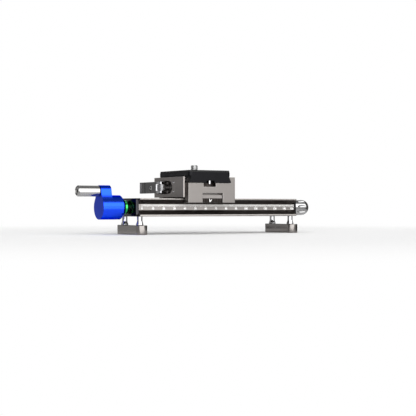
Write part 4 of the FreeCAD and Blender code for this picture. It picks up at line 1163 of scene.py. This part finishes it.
def horizonShare(tree, way):
    # where a direction lies round the horizon, as a share of the whole turn, and how far it points ahead
    shares = []
    for key in ("aside", "ahead"):
        dot = addNode(tree, "VectorMath", operation="DOT_PRODUCT", inputs={0: way, 1: studio[key]})
        shares.append(dot.outputs["Value"])
    return mathOf(tree, "MULTIPLY_ADD", mathOf(tree, "ARCTAN2", *shares), 1 / math.tau, 0.5), shares[1]


def levelRound(tree, turnShare, stops):
    # level round the horizon, held in a ramp as a share of the peak
    ramp = addNode(tree, "ValToRGB", inputs={"Fac": turnShare})
    elements = ramp.color_ramp.elements
    while len(elements) < len(stops):
        elements.new(0.5)
    for element, (degrees, level) in zip(elements, stops):
        share = level / studio["peak"]
        element.position = degrees / 360 + 0.5
        element.color = (share, share, share, 1)
    return mathOf(tree, "MULTIPLY", ramp.outputs["Color"], studio["peak"])


def litFloor():
    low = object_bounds()[0]
    selectOnly()
    bpy.ops.mesh.primitive_plane_add(size=2 * studio["floorHalf"], location=(0, 0, low[2] - 0.02 * mm))
    floor = bakePlace(bpy.context.object)
    floor.name = "studioFloor"
    kind = bpy.data.materials.new("paleFloor")
    kind.use_nodes = True
    tree = kind.node_tree
    tone = studio["floorTone"]
    shader = feed(tree, tree.nodes["Principled BSDF"], {
        "Base Color": (tone, tone, tone, 1), "Roughness": 0.8, "Specular IOR Level": 0.1})
    place = addNode(tree, "TexCoord").outputs["Object"]
    away = addNode(tree, "VectorMath", operation="LENGTH", inputs={0: place}).outputs["Value"]
    path = addNode(tree, "LightPath").outputs
    straight = straightRays(tree, path)
    # the camera sees a white floor, and the metal sees the lights that stand on it
    share = mathOf(tree, "MAXIMUM", mathOf(tree, "MULTIPLY", between(tree, away, studio["fade"]), straight),
                   mathOf(tree, "MULTIPLY", between(tree, away, studio["mirrorFade"]), path["Is Glossy Ray"]))
    lights = levelRound(tree, horizonShare(tree, place)[0], ringLight)
    level = mixOf(tree, straight, lights, 1.0)
    white = addNode(tree, "Emission", inputs={"Color": (1, 1, 1, 1), "Strength": level})
    mix = addNode(tree, "MixShader", inputs={0: share, 1: shader.outputs[0], 2: white.outputs[0]})
    feed(tree, tree.nodes["Material Output"], {"Surface": mix.outputs[0]})
    floor.data.materials.append(kind)


def makeWorld():
    world = bpy.data.worlds.new("studioAir")
    bpy.context.scene.world = world
    world.use_nodes = True
    tree = world.node_tree
    way = addNode(tree, "TexCoord").outputs["Generated"]
    up = addNode(tree, "SeparateXYZ", inputs={0: way}).outputs["Z"]
    turnShare, ahead = horizonShare(tree, way)
    horizon = levelRound(tree, turnShare, ringLight)
    raised = levelRound(tree, turnShare, sideLight)
    softbox = mathOf(tree, "MULTIPLY", between(tree, up, studio["softbox"]), raised)
    low = mathOf(tree, "MAXIMUM", horizon, softbox)
    dim = mixOf(tree, between(tree, up, studio["ceiling"]), low, studio["ceilingLevel"])
    lit = mixOf(tree, between(tree, up, studio["zenith"]), dim, studio["zenithLevel"])
    path = addNode(tree, "LightPath").outputs
    # the backdrop is white to the camera and in the metal that mirrors it
    backdrop = mathOf(tree, "LESS_THAN", ahead, studio["backdrop"])
    mirrored = mathOf(tree, "MULTIPLY", backdrop, path["Is Glossy Ray"])
    white = mathOf(tree, "MAXIMUM", straightRays(tree, path), mirrored)
    feed(tree, tree.nodes["Background"], {"Color": (1, 1, 1, 1), "Strength": mixOf(tree, white, lit, 1.0)})


def makeTopLamp():
    # lights the floor and what is matt, and isn't mirrored in the metal
    selectOnly()
    bpy.ops.object.light_add(type="AREA", location=studio["topPlace"])
    lamp = bpy.context.object
    lamp.name = "topLamp"
    lamp.data.shape = "RECTANGLE"
    lamp.data.size, lamp.data.size_y = studio["topSize"]
    lamp.data.energy = studio["topPower"]
    lamp.visible_glossy = False


def makeCamera():
    selectOnly()
    bpy.ops.object.camera_add(location=view["place"])
    camera = bpy.context.object
    camera.name = "photoCamera"
    camera.rotation_mode = "QUATERNION"
    camera.rotation_quaternion = Vector(view["towards"]).to_track_quat("-Z", "Y")
    camera.data.sensor_width = view["sensor"]
    camera.data.lens = view["lens"]
    camera.data.clip_start, camera.data.clip_end = view["clip"]
    bpy.context.scene.camera = camera


litFloor()
makeWorld()
makeTopLamp()
makeCamera()
bpy.context.scene.view_settings.view_transform = "Standard"
print("stage: studio made")
